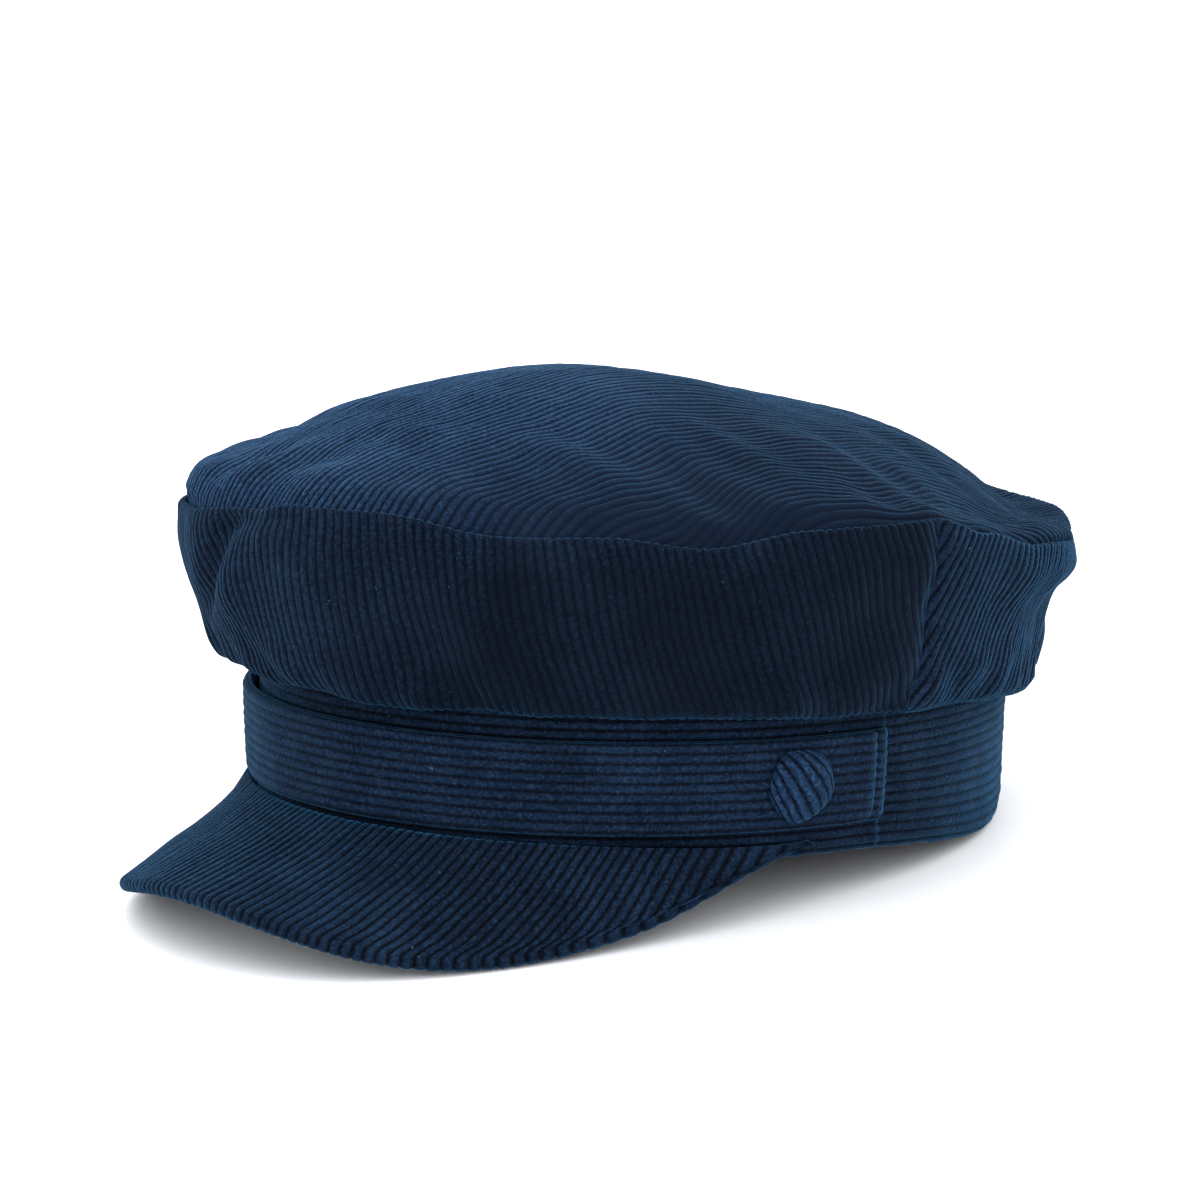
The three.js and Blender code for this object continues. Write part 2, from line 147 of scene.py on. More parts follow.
def bump(value, middle, reach):
    """A round-topped bump of height 1, about twice reach wide."""
    return np.exp(-(((value - middle) / reach) ** 2))


def turn_bump(angle, middle_degrees, reach_degrees):
    """The same bump on the angle round the cap."""
    away = (angle - math.radians(middle_degrees) + math.pi) % FULL_TURN - math.pi
    return bump(away, 0, math.radians(reach_degrees))


def turn_bumps(angle, stops):
    """The sum of bumps on the angle, each given by its size, its middle and its reach."""
    return sum(size * turn_bump(angle, middle, reach) for size, middle, reach in stops)


def spots(angle, height, stops):
    """The same with a middle and a reach in height too."""
    return sum(size * turn_bump(angle, middle, reach) * bump(height, level, spread)
               for size, middle, reach, level, spread in stops)


def ripples(x, y, size, seed, count=14):
    """Smooth unevenness between about -1 and 1, with humps about size across."""
    draw = np.random.default_rng(seed)
    turns = draw.uniform(0, FULL_TURN, count)
    scales = draw.uniform(0.6, 1.6, count) * FULL_TURN / size / 2
    phases = draw.uniform(0, FULL_TURN, count)
    total = 0
    for turn, scale, phase in zip(turns, scales, phases):
        total = total + np.sin((x * math.cos(turn) + y * math.sin(turn)) * scale + phase)
    return total / math.sqrt(count)


def walked(path):
    """The distance walked along a path of points, at each of them."""
    return np.concatenate([[0], np.cumsum(np.linalg.norm(np.diff(path, axis=0), axis=1))])


def curve_path(stops):
    """A smooth path through the stops, as close points, and the distance walked at each of them."""
    stops = np.array(stops, float)
    before = np.vstack([2 * stops[0] - stops[1], stops[:-1]])
    after = np.vstack([stops[1:], 2 * stops[-1] - stops[-2]])
    slopes = (after - before) / 2
    where = np.linspace(0, len(stops) - 1 - 1e-9, CURVE_POINTS)
    i = where.astype(int)
    t = (where - i)[:, None]
    path = (stops[i] * (2 * t ** 3 - 3 * t ** 2 + 1) + stops[i + 1] * (3 * t ** 2 - 2 * t ** 3)
            + slopes[i] * (t ** 3 - 2 * t ** 2 + t) + slopes[i + 1] * (t ** 3 - t ** 2))
    return path, walked(path)


def curve_length(stops):
    """The length of the smooth curve through the stops."""
    return curve_path(stops)[1][-1]


def round_curve(stops, share):
    """Both coordinates on the smooth curve through the stops, at a share of its length from 0 to 1."""
    path, along = curve_path(stops)
    return [np.interp(share * along[-1], along, path[:, k]) for k in (0, 1)]


def round_wave(stops, angle):
    """A value that passes smoothly through (degrees, value) stops all the way round the cap."""
    degrees = np.degrees(angle) % 360
    x, y = np.array(stops, float).T
    x = np.concatenate([x[-2:] - 360, x, x[:2] + 360])
    y = np.concatenate([y[-2:], y, y[:2]])
    i = np.clip(np.searchsorted(x, degrees, side="right") - 1, 1, len(x) - 3)
    t = (degrees - x[i]) / (x[i + 1] - x[i])
    t = t * t * (3 - 2 * t)
    return y[i] * (1 - t) + y[i + 1] * t


def grid(down, along):
    """The two parameters of a grid of points: down its rows and along its columns."""
    return np.meshgrid(down, along, indexing="ij")


def all_round(columns):
    """Even angles round the cap, for a grid that closes on itself."""
    return np.linspace(0, FULL_TURN, columns, endpoint=False)


def around(angle):
    """About how many millimetres of cloth lie between an angle and the wearer's left."""
    return angle * CLOTH_RADIUS


def wale_columns(reach, per_wale=COLUMNS_PER_WALE):
    """Columns of a pattern from -reach to reach, close enough together to draw each wale."""
    return np.linspace(-reach, reach, 2 * int(reach / WALE_PITCH * per_wale) + 1)


def ridge(across):
    """The height share of a wale: 1 on its crest and 0 in the groove on each side of it."""
    offset = np.abs((across % 1.0) * 2 - 1)
    return 1 - offset ** WALE_SQUARENESS


# ---------------- cloth as closed meshes


def unit(vectors):
    """The same ways, each of length 1."""
    return vectors / np.maximum(np.linalg.norm(vectors, axis=-1, keepdims=True), 1e-12)


def surface_normals(place, a, b, step_a, step_b):
    """Unit normals of the surface place(a, b)."""
    along_a = place(a + step_a, b) - place(a - step_a, b)
    along_b = place(a, b + step_b) - place(a, b - step_b)
    return unit(np.cross(along_a, along_b))


def coarse_steps(count, step):
    """Every so many of the rows or columns, and always the last."""
    return np.append(np.arange(0, count - 1, step), count - 1)


def grid_faces(index):
    """Quads between the corners of a grid of vertex numbers."""
    return np.stack([index[:-1, :-1], index[:-1, 1:], index[1:, 1:], index[1:, :-1]], -1).reshape(-1, 4)


def rim_faces(fine, coarse, stops):
    """Triangles that join a fine edge to a coarse one; stops says where each coarse corner lies on it."""
    faces = []
    for k in range(len(stops) - 1):
        for i in range(stops[k], stops[k + 1]):
            faces.append((fine[i], coarse[k], fine[i + 1]))
        faces.append((fine[stops[k + 1]], coarse[k], coarse[k + 1]))
    return faces


def cloth_mesh(name, outer, inner, marks, row_step, column_step, ring=False):
    """A closed mesh of one cloth piece: a fine outside, a coarse inside and the edge between them.
    outer and inner are grids of points on the same parameters; marks are the outside's wale values."""
    rows, columns = outer.shape[:2]
    row_at = coarse_steps(rows, row_step)
    column_at = np.arange(0, columns, column_step) if ring else coarse_steps(columns, column_step)
    inside = inner[np.ix_(row_at, column_at)].reshape(-1, 3)
    fine = np.arange(rows * columns).reshape(rows, columns)
    coarse = np.arange(len(inside)).reshape(len(row_at), len(column_at)) + rows * columns
    if ring:
        fine, coarse = (np.hstack([index, index[:, :1]]) for index in (fine, coarse))
        column_at = np.append(column_at, columns)
    sides = [(fine[0], coarse[0], column_at, True), (fine[-1], coarse[-1], column_at, False)]
    if not ring:
        sides += [(fine[:, 0], coarse[:, 0], row_at, False), (fine[:, -1], coarse[:, -1], row_at, True)]
    rim = [face[::-1] if flip else face for *side, flip in sides for face in rim_faces(*side)]
    points = np.concatenate([outer.reshape(-1, 3), inside])
    values = np.concatenate([marks.reshape(-1, 3), np.zeros_like(inside)])
    return mesh_object(name, points, [grid_faces(fine), grid_faces(coarse)[:, ::-1], np.array(rim)], values)


def mesh_object(name, points, face_groups, values):
    """A Blender object from points in the cap's frame and groups of equal-sided faces."""
    mesh = bpy.data.meshes.new(name)
    mesh.vertices.add(len(points))
    mesh.vertices.foreach_set("co", to_row(points).astype(np.float32).ravel())
    sizes = np.concatenate([np.full(len(g), g.shape[1]) for g in face_groups])
    corners = np.concatenate([g.ravel() for g in face_groups])
    mesh.loops.add(len(corners))
    mesh.loops.foreach_set("vertex_index", corners.astype(np.int32))
    mesh.polygons.add(len(sizes))
    mesh.polygons.foreach_set("loop_start", np.concatenate([[0], np.cumsum(sizes)[:-1]]).astype(np.int32))
    mesh.update(calc_edges=True)
    mark = mesh.attributes.new("wale", "FLOAT_VECTOR", "POINT")
    mark.data.foreach_set("vector", values.astype(np.float32).ravel())
    mesh.validate()
    piece = bpy.data.objects.new(name, mesh)
    bpy.context.scene.collection.objects.link(piece)
    weld(piece)
    return piece


def weld(piece):
    """Joins the corners that fall on each other where a grid runs to a point."""
    work = bmesh.new()
    work.from_mesh(piece.data)
    bmesh.ops.remove_doubles(work, verts=work.verts, dist=0.004 * MM)
    bmesh.ops.recalc_face_normals(work, faces=work.faces)
    work.to_mesh(piece.data)
    work.free()
    piece.data.shade_smooth()


def sheet_piece(name, place, a, b, marks, steps, face, depth, coarse=(1, 1), ring=False, outward=1, cut=None):
    """A sheet whose face stands off the surface place(a, b), with its back at a depth below that surface."""
    normal = surface_normals(place, a, b, *steps) * outward
    base = place(a, b)
    marks = np.stack(np.broadcast_arrays(*marks), -1)
    return cloth_mesh(name, base + normal * face, base - normal * depth, marks, *coarse, ring)


def corduroy_piece(name, place, a, b, across, along, steps, thick=CORDUROY_THICK, coarse=(2, 8),
                   relief=1.0, painted_light=1.0, **options):
    """Corduroy on the surface place(a, b): wales outside and a plain back, one thickness below.
    The share of painted light is 1 at full brightness and less where shade is painted into the pile."""
    wale = np.floor(across)
    uneven = sum(size * ripples(wale * apart, along, length, seed)
                 for size, apart, length, seed in WALE_UNEVEN)
    height = WALE_HEIGHT * relief * (ridge(across) * np.clip(1 + uneven, *WALE_SPREAD) - 0.5)
    return sheet_piece(name, place, a, b, (across, along, painted_light), steps, height[..., None], thick, coarse,
                       **options)


def plain_piece(name, place, a, b, across, along, steps, thick, rise=0.0, **options):
    """Smooth cloth or board on the surface place(a, b), its face a rise above it; across and along are the
    millimetres that its weave is drawn on."""
    return sheet_piece(name, place, a, b, (across, along, 1.0), steps, rise, thick - rise, **options)


# ---------------- the crown's shape

SEAM_WAVES = [(0, 5.0), (8, 4.6), (18, 4.0), (31, -0.3), (42, 2.2), (56, 1.2), (70, 5.0), (84, 4.4),
              (94, 1.4), (113, -2.0), (140, -3.6), (165, -3.2), (185, -1.6), (207, -2.4), (232, -0.4),
              (262, -3.4), (290, -7.0), (314, -7.8), (338, -4.6), (351, 0.4)]

FRONT_PROFILE = [(-0.8, 38.2), (1.6, 36.0), (5.0, 35.2), (8.2, 37.4), (10.9, 42.0), (13.0, 48.0),
                 (14.8, 55.0), (16.0, 62.0), (16.8, 69.0), (16.9, 75.0)]
BACK_PROFILE = [(-0.8, 38.2), (1.4, 34.8), (5.0, 32.8), (8.2, 35.0), (9.2, 41.0), (9.9, 49.0),
                (12.4, 56.5), (15.8, 62.5), (17.8, 68.5), (17.4, 75.0)]
LIP = [(-0.3, 75.7), (-1.0, 76.0), (-1.8, 75.3), (-2.2, 73.2)]
PROFILE_TOP = 75.0
# Dents and swellings: size, then middle and reach round the cap in degrees, then the same in height.
SIDE_SWELLS = [(1.4, 46, 7, 64, 13), (1.4, 18, 8, 62, 14), (-1.6, 33, 6, 52, 12), (-1.2, 66, 5, 52, 12)]
FOOT_NOTCH = [(-2.2, 59, 2.2, 38, 5), (0.8, 62, 2, 38, 5)]
DART = [(-3.4, 97, 3.0), (1.6, 89, 4.5)]
SIDE_SEAMS = [(-1.3, 0, 1.3), (-1.3, 180, 1.3)]
SEAM_LEANS = [(3.0, 56, 6.5), (2.6, 31, 7), (1.5, 93, 5)]
FAR_RIMS = [(1, -52, 24), (1, 132, 26)]
CROWN_SHIFT = np.array([-1.1, -1.1, 0.0])


def seam_wave(angle):
    """How far the crown's top seam waves up from its even height."""
    return round_wave(SEAM_WAVES, angle)


def crown_shift(height):
    """The soft crown sits a little towards the front right of the band."""
    return smooth(37, 62, height)[..., None] * CROWN_SHIFT


def seam_lean(angle):
    """Where the top edge leans in and lets the side cloth face upwards, as a distance inwards."""
    return turn_bumps(angle, SEAM_LEANS)


def far_rim(angle):
    """Where the top cloth is pushed out over its seam, to the front right and the back left."""
    return turn_bumps(angle, FAR_RIMS)


def far_corner(angle):
    """Where the side crown hangs low and tucks in, at the back left."""
    return turn_bump(angle, -44, 17)


def with_lip(profile):
    """A profile of the side crown with its turned-in top edge."""
    top = profile[-1][0]
    return profile + [(top + out, height) for out, height in LIP]


def side_point(angle, share):
    """The side crown's cloth, from its seam on the band (share 0) over the lip to the top seam (1)."""
    share = np.clip(share, 0, 1)
    fullness = smooth(-0.9, 0.9, np.sin(angle))
    front = np.array(round_curve(with_lip(FRONT_PROFILE), share))
    back = np.array(round_curve(with_lip(BACK_PROFILE), share))
    out, height = back * (1 - fullness) + front * fullness
    lift = smooth(40, PROFILE_TOP, height)
    height = height + (seam_wave(angle) - 0.9 * far_rim(angle)) * lift ** 2
    hang = 4.2 * far_corner(angle) * (1 - smooth(34, 50, height))
    hang = hang + 0.6 * ripples(around(angle), 0 * angle, 16, seed=8) * (1 - smooth(34, 44, height))
    hang = hang * smooth(0.5, 5.0, out)
    out = out + side_folds(angle, height)
    return oval(out, angle, height - hang) + crown_shift(height)


def side_folds(angle, height):
    """Dents and swellings of the side crown, as a distance outwards."""
    level = smooth(36, 44, height) * (1 - smooth(70, 79, height))
    uneven = (0.8 * ripples(around(angle), height, 42, seed=3)
              + 0.4 * ripples(around(angle), height, 15, seed=4))
    swells = spots(angle, height, SIDE_SWELLS)
    slant = math.radians(0.5) * (PROFILE_TOP - height)
    dart = turn_bumps(angle - slant, DART)
    dart = dart * smooth(46, 56, height) * (1 - smooth(72, 77, height))
    foot = 1 - smooth(38, 49, height)
    gathers = 1.2 * ripples(around(angle), height * 0.3, 7, seed=7, count=8)
    gathers = gathers * foot * smooth(34.5, 36, height)
    notch = spots(angle, height, FOOT_NOTCH)
    foot_in = -2.4 * far_corner(angle) * bump(height, 38, 8)
    seams = turn_bumps(angle, SIDE_SEAMS) * smooth(35, 39, height)
    lean = -seam_lean(angle) * smooth(61, 76, height)
    return (uneven + swells) * level + dart + gathers + notch + foot_in + seams + lean


def side_painted_light(angle, share):
    """Painted light and shade on the side's pile: painted shade on the wearer's left of the front, less of it at
    the rim, where a painted highlight runs, and another painted highlight on a bulge below the seam.
    """
    # Painted shade from the wearer's left to about 54 degrees round the front, fading out by 92.
    front_on = smooth(math.radians(54), math.radians(92), angle)
    # Painted highlight along the rim below the top seam, where the cloth turns up.
    rim = 0.42 * smooth(0.74, 0.97, share) * smooth(math.radians(4), math.radians(24), angle)
    # Painted highlight on the bulge below the seam at about 59 degrees.
    bulge_highlight = 0.55 * turn_bump(angle, 59.5, 3.4) * smooth(0.5, 0.92, share)
    uneven = 0.08 * ripples(around(angle), share * 45, 28, seed=9)
    return np.clip(0.3 + 0.7 * front_on + rim + bulge_highlight + uneven, 0, 1)


PATTERN_HALF_ANGLE = math.radians(27)
PATTERN_OUT = 12.0
SIDE_ROWS = 58
SIDE_MARGIN = 0.9995


def arc_table(out):
    """Angles round half the cap, the share of the oval walked at each, and the oval's length."""
    angle = np.linspace(0, math.pi, 361)
    along = walked(oval(out, angle, 0.0))
    return angle, along / along[-1], along[-1]


def side_panel(name, start_angle):
    """Half of the side crown. Its wales stand upright in the middle and lean over towards its ends,
    because the flat pattern is a piece of a wide ring."""
    turn_angle, turn_share, half_length = arc_table(PATTERN_OUT)
    height = curve_length(with_lip(FRONT_PROFILE))
    radius = half_length / (2 * PATTERN_HALF_ANGLE)
    low, high = radius - height / 2, radius + height / 2
    reach = high * math.sin(PATTERN_HALF_ANGLE) * SIDE_MARGIN
    x = wale_columns(reach)[None, :]
    arc = np.sqrt(np.maximum(low ** 2 - x ** 2, 0))
    bottom = np.maximum(arc, np.abs(x) / math.tan(PATTERN_HALF_ANGLE))
    top = np.sqrt(high ** 2 - x ** 2)
    y = bottom + (top - bottom) * np.linspace(0, 1, SIDE_ROWS)[:, None]
    x = np.broadcast_to(x, y.shape)
    wobble = 0.5 * ripples(x, y, 30, seed=11)
    shifted = x + wobble * (smooth(0, 12, top - y) * smooth(0, 12, y - bottom))
    share = np.clip((np.hypot(shifted, y) - low) / (high - low), 0, 1)
    turned = 0.5 - 0.5 * np.arctan2(shifted, y) / PATTERN_HALF_ANGLE
    angle = start_angle + np.interp(np.clip(turned, 0, 1), turn_share, turn_angle)
    area = PATTERN_HALF_ANGLE * (high ** 2 - low ** 2)
    cut = (2 * reach, high - low * math.cos(PATTERN_HALF_ANGLE), area)
    return corduroy_piece(name, side_point, angle, share, x / WALE_PITCH, y, SMALL_STEPS,
                          coarse=(3, 8), outward=-1, relief=0.9, painted_light=side_painted_light(angle, share), cut=cut)


# ---------------- the crown's top

TOP_TUCK = [(0.985, -2.2), (0.968, -5.0)]
DOME_FULLNESS = 1.9
DOME_ROUNDNESS = 0.76
DOME_FRONT_LEAN = 0.05
DOME_SAMPLES = 240
TOP_OUT = SEAM_OUT - 1.7
TOP_ROWS = 112
TOP_MARGIN = 0.9998
TOP_CREASES = [(1.4, 104, 4), (-1.5, 111, 3.5), (-1.0, 96, 4)]


def dome_table(radius):
    """From the middle of the top to its tucked-in edge: the share of the way out, the share of the rise,
    and the distance walked over the cloth."""
    out = np.sin(np.linspace(0, math.pi / 2, DOME_SAMPLES))
    rise = (1 - out ** DOME_FULLNESS) ** DOME_ROUNDNESS
    out = np.concatenate([out, [p[0] for p in TOP_TUCK]])
    rise = np.concatenate([rise, [p[1] / DOME_RISE for p in TOP_TUCK]])
    return out, rise, walked(np.stack([out * radius, rise * DOME_RISE], -1))


MEAN_RADIUS = (HALF_WIDTH + HALF_LENGTH) / 2 + TOP_OUT
DOME_OUT, DOME_LIFT, DOME_ALONG = dome_table(MEAN_RADIUS)
SEAM_WALK = DOME_ALONG[-1 - len(TOP_TUCK)]
FLAT_SHARE = DOME_ALONG[-1] / MEAN_RADIUS
TOP_HALF_WIDTH = (HALF_WIDTH + TOP_OUT) * FLAT_SHARE
TOP_HALF_LENGTH = (HALF_LENGTH + TOP_OUT) * FLAT_SHARE


def top_point(x, y):
    """The crown's top above the point (x, y) of its flat pattern."""
    across, back = x / TOP_HALF_WIDTH, y / TOP_HALF_LENGTH
    share = np.minimum(np.hypot(across, back), 1)
    angle = np.arctan2(-back, across)
    walk = share * DOME_ALONG[-1]
    out = np.interp(walk, DOME_ALONG, DOME_OUT)
    lift = np.interp(walk, DOME_ALONG, DOME_LIFT)
    sewn = smooth(SEAM_WALK - 7.0, SEAM_WALK - 0.5, walk)
    lean = 1 + DOME_FRONT_LEAN * out * np.sin(angle)
    height = SEAM_HEIGHT + DOME_RISE * lift * np.where(lift > 0, lean, 1)
    height = height + seam_wave(angle) * smooth(0.45, 1.0, out) ** 1.5
    height = height + top_folds(x, y, out, angle) * (1 - sewn)
    leaned = TOP_OUT + 0.7 * far_rim(angle) - seam_lean(angle) * smooth(0.75, 1.0, out)
    unsewn = 1 - smooth(SEAM_WALK - 3.5, SEAM_WALK - 0.3, walk)
    leaned = leaned + 3.6 * far_rim(angle) * bump(out, 0.97, 0.05) * unsewn
    plan_x = (HALF_WIDTH + leaned) * out * np.cos(angle)
    plan_y = -(HALF_LENGTH + leaned) * out * np.sin(angle)
    return np.stack([plan_x, plan_y, height], -1) + CROWN_SHIFT


def top_folds(x, y, out, angle):
    """Soft waves of the top cloth, larger towards its edge, where there is more cloth than seam."""
    edge = smooth(0.2, 0.75, out) * (1 - smooth(0.93, 1.0, out))
    uneven = 0.8 * ripples(x, y, 46, seed=21) * (1 - smooth(0.9, 1.0, out))
    near = 0.6 + 0.7 * turn_bump(angle, 20, 50)
    waves = 0.7 * ripples(x * 0.5, y * 1.6, 16, seed=22) * near
    hollow = -4.2 * turn_bump(angle, -46, 56) * smooth(0.1, 0.4, out) * (1 - smooth(0.9, 1.0, out))
    crest = 2.4 * bump(x, -18, 42) * bump(y, -20, 40)
    dent = -3.2 * bump(x, -2, 32) * bump(y, 12, 30)
    shoulder = bump(out, 0.93, 0.08) * (4.5 * turn_bump(angle, 145, 48) + 2.0 * turn_bump(angle, 235, 50))
    rim = bump(out, 0.965, 0.06) * (1.2 * turn_bump(angle, 121, 13) + 2.8 * turn_bump(angle, -55, 24))
    swell = 0.7 * bump(out, 0.95, 0.05)
    creases = turn_bumps(angle, TOP_CREASES) * bump(out, 0.9, 0.1)
    return uneven + waves * edge + hollow + crest + dent + shoulder + rim + swell + creases


def top_panel(name):
    """The oval top. Its wales run from front to back, and painted shade darkens it towards the back left."""
    x = wale_columns(TOP_HALF_WIDTH * TOP_MARGIN)[None, :]
    half = TOP_HALF_LENGTH * np.sqrt(1 - (x / TOP_HALF_WIDTH) ** 2)
    y = half * np.linspace(-1, 1, TOP_ROWS)[:, None]
    x = np.broadcast_to(x, y.shape)
    inside = smooth(0, 20, half - np.abs(y))
    shifted = x + 1.7 * ripples(x * 0.35, y, 34, seed=23) * inside
    cut = (2 * TOP_HALF_WIDTH, 2 * TOP_HALF_LENGTH, math.pi * TOP_HALF_WIDTH * TOP_HALF_LENGTH)
    # Painted shade: darker towards the wearer's left and the back, its edge made uneven.
    painted_light = 1 - smooth(-25, 60, x + 0.35 * y + 14 * ripples(x, y, 60, seed=24))
    return corduroy_piece(name, top_point, shifted, y, x / WALE_PITCH, y, (0.4, 0.4),
                          coarse=(3, 8), relief=1.15, painted_light=painted_light, cut=cut)


# ---------------- the band

BAND_ROLL = 2.2
BAND_CURL = 2.2
BAND_SLUMP = 4.3
BAND_SWAY = -2.3
BAND_COLUMNS = 520


def band_curl(angle, height):
    """How far the band stands in: its foot curls most at the back, where nothing stiffens it, and the
    strap's end pulls it in."""
    backness = smooth(-0.1, 0.9, -np.sin(angle))
    firm = 1 - 0.9 * turn_bump(angle, -33, 26)
    pucker = -1.5 * turn_bump(angle, 1, 4) * bump(height, 13, 9)
    return -BAND_CURL * backness * firm * (1 - smooth(-2, 6, height)) + band_sway(angle) + pucker


def band_slump(angle, height):
    """The lower part of the band sinks to the table beside the back."""
    low_part = 1 - smooth(0, 26, height)
    return -BAND_SLUMP * (turn_bump(angle, -33, 24) + turn_bump(angle, 213, 24)) * low_part


def band_sway(angle):
    """The band gives way a little on its front right."""
    return BAND_SWAY * turn_bump(angle, 128, 34)


def band_section():
    """The band cover's outer face in section, from its turned-in foot up to under the crown."""
    return [(-BAND_ROLL - 1.4, 7.0), (-BAND_ROLL - 0.9, 2.4), (-1.6, 0.35), (-0.35, 1.4), (0.0, 3.6),
            (0.0, 12.0), (0.0, 20.0), (0.0, 28.0), (0.0, BAND_TOP - CORDUROY_THICK), (-0.6, BAND_TOP)]


def band_point(angle, share):
    """The band cover's outer face, at an angle round the cap and a share of the way up its section."""
    out, height = round_curve(band_section(), np.clip(share, 0, 1))
    out = out + band_curl(angle, height)
    out = out + 0.3 * ripples(around(angle), height * 0.6, 40, seed=31)
    seam = -0.9 * turn_bump(angle, 270, 0.9)
    return oval(out + seam, angle, height + band_slump(angle, height))


def band_cover(name):
    """The band's corduroy, its wales running round the cap."""
    wales = curve_length(band_section()) / WALE_PITCH
    rows = int(wales * COLUMNS_PER_WALE) + 1
    share, angle = grid(np.linspace(0, 1, rows), all_round(BAND_COLUMNS))
    return corduroy_piece(name, band_point, angle, share, share * wales, around(angle), SMALL_STEPS,
                          ring=True, coarse=(8, 4), outward=-1)


# ---------------- the strap and its backing

STRAP_FOOT, STRAP_HEAD = (corner[2] for corner in cap_box("strap_face"))
STRAP_THICK = 2.0
STRAP_SLACK_AT_SIDES = 0.8
STRAP_SLACK_AT_FRONT = 1.0
STRAP_CORNER = 3.0
STRAP_ROLL = 0.9
STRAP_LENGTH = 320
STRAP_COLUMNS = 300


def strap_end(node):
    """The angle round the cap where a strap node ends, on the wearer's left."""
    _, high = cap_box(node)
    return math.asin(-high[1] / (HALF_LENGTH + STRAP_THICK))


def strap_face_out(angle, rise):
    """How far the strap's outer face stands from the band; rise runs from 0 at its foot to 1 at its head."""
    slack = STRAP_SLACK_AT_SIDES + STRAP_SLACK_AT_FRONT * np.maximum(np.sin(angle), 0)
    flare = 1.5 * turn_bump(angle, 128, 22) * (rise - 0.45)
    loose = 0.35 * ripples(around(angle), rise * 12, 45, seed=41) * (rise - 0.3)
    return slack + STRAP_THICK + flare + loose + band_sway(angle) * 1.25


def strap_section(height, roll):
    """A strip folded round at both edges, in section: how far in, and how high."""
    return [(-1.5, 3.4), (-1.45, 1.5), (-roll, 0.15), (-0.25, roll * 0.35), (0.0, 1.6), (0.15, height * 0.3),
            (0.2, height * 0.5), (0.15, height * 0.7), (0.0, height - 1.6), (-0.25, height - roll * 0.35),
            (-roll, height - 0.15), (-1.45, height - 1.5), (-1.5, height - 3.4)]


def strap_strip(name, node, foot, head, below, corner):
    """A corduroy strip along the front of the band, its wales running with it. It lies below the strap's
    outer face, and corner is the radius of its four corners."""
    start = strap_end(node)
    span = math.pi - 2 * start
    section = strap_section(head - foot, STRAP_ROLL)
    length = curve_length(section)
    rows = int(length / WALE_PITCH * COLUMNS_PER_WALE) + 1
    share, along = grid(np.linspace(0, 1, rows), np.linspace(0, 1, STRAP_COLUMNS))

    def place(walk, share):
        angle = start + span * walk
        inward, height = round_curve(section, np.clip(share, 0, 1))
        to_end = np.minimum(walk, 1 - walk) * span * HALF_WIDTH
        rise = height / (head - foot)
        cut = np.clip(1 - to_end / corner, 0, 1)
        rounded = corner * (1 - np.sqrt(np.maximum(1 - cut ** 2, 0)))
        height = np.where(rise < 0.5, np.maximum(height, rounded + height * 0.2), height)
        dip = 0.9 * (1 - smooth(0, 2.2, to_end))
        out = strap_face_out(angle, rise) - below + inward - dip
        return oval(out, angle, foot + height)

    relief = 0.6 + 0.6 * turn_bump(start + span * along, 135, 28)
    return corduroy_piece(name, place, along, share, share * length / WALE_PITCH, along * STRAP_LENGTH,
                          (0.0005, 0.002), thick=0.6, coarse=(8, 4), outward=-1, relief=relief)


# ---------------- the peak

PEAK_HALF_WIDTH = PEAK_HIGH[0] + 0.9
PEAK_END = PEAK_HALF_WIDTH - 0.1
PEAK_REACH = -PEAK_LOW[1] - HALF_LENGTH - 3.4
PEAK_END_REACH = 0.6
OUTLINE_SQUARENESS = 5.0
OUTLINE_TAPER = 1.3
SLOPE_FRONT = math.radians(18.5)
SLOPE_MORE_AT_SIDES = math.radians(29.2)
SLOPE_POWER = 1.7
ROOT_OUT = 0.8
ROOT_FRONT = 2.4
ROOT_DROP_AT_SIDES = 4.0
PEAK_HALF_THICK = 1.8
ROOT_LIFT = 1.6
ROOT_LIFT_AT_SIDES = 4.0
PEAK_TURN_UNDER = 5.0
PEAK_STEPS = (0.3, 0.01)
LINING_REACH = 0.985
BOARD_REACH = 0.97
BOARD_THICK = 1.0


def peak_side(x):
    """0 in the middle of the peak and 1 at its ends."""
    return np.clip(np.abs(x) / PEAK_HALF_WIDTH, 0, 1)


def peak_angle(x):
    """The angle round the cap where the peak's root is at x."""
    return np.arccos(np.clip(x / (HALF_WIDTH + ROOT_OUT), -1, 1))


def peak_middle(x, reach):
    """The middle of the peak's thickness, reach millimetres forward of the band at x."""
    side, angle = peak_side(x), peak_angle(x)
    slope = SLOPE_FRONT + SLOPE_MORE_AT_SIDES * side ** SLOPE_POWER
    pulled_in = band_sway(angle) * (1 - smooth(0, 14, reach))
    root = oval(ROOT_OUT + pulled_in, angle, ROOT_FRONT - ROOT_DROP_AT_SIDES * side ** 2)
    sag = 0.35 * ripples(x, reach * 1.3, 60, seed=51)
    sag = sag + (ROOT_LIFT + ROOT_LIFT_AT_SIDES * side ** 2) * (1 - smooth(-2, 15, reach))
    sag = sag - 2.2 * turn_bump(angle, 130, 15) * smooth(0, 5, reach) * (1 - smooth(7, 24, reach))
    return root + np.stack([np.zeros_like(reach), -reach, -reach * np.tan(slope) + sag], -1)


def peak_reach(x):
    """How far forward of the band the peak's edge is at x."""
    outline = (1 - peak_side(x) ** OUTLINE_SQUARENESS) ** OUTLINE_TAPER
    return PEAK_END_REACH + (PEAK_REACH - PEAK_END_REACH) * outline


def upright(forward, side):
    """The unit way square to both, on its upper side."""
    up = unit(np.cross(forward, side))
    return up * np.sign(up[..., 2:3])


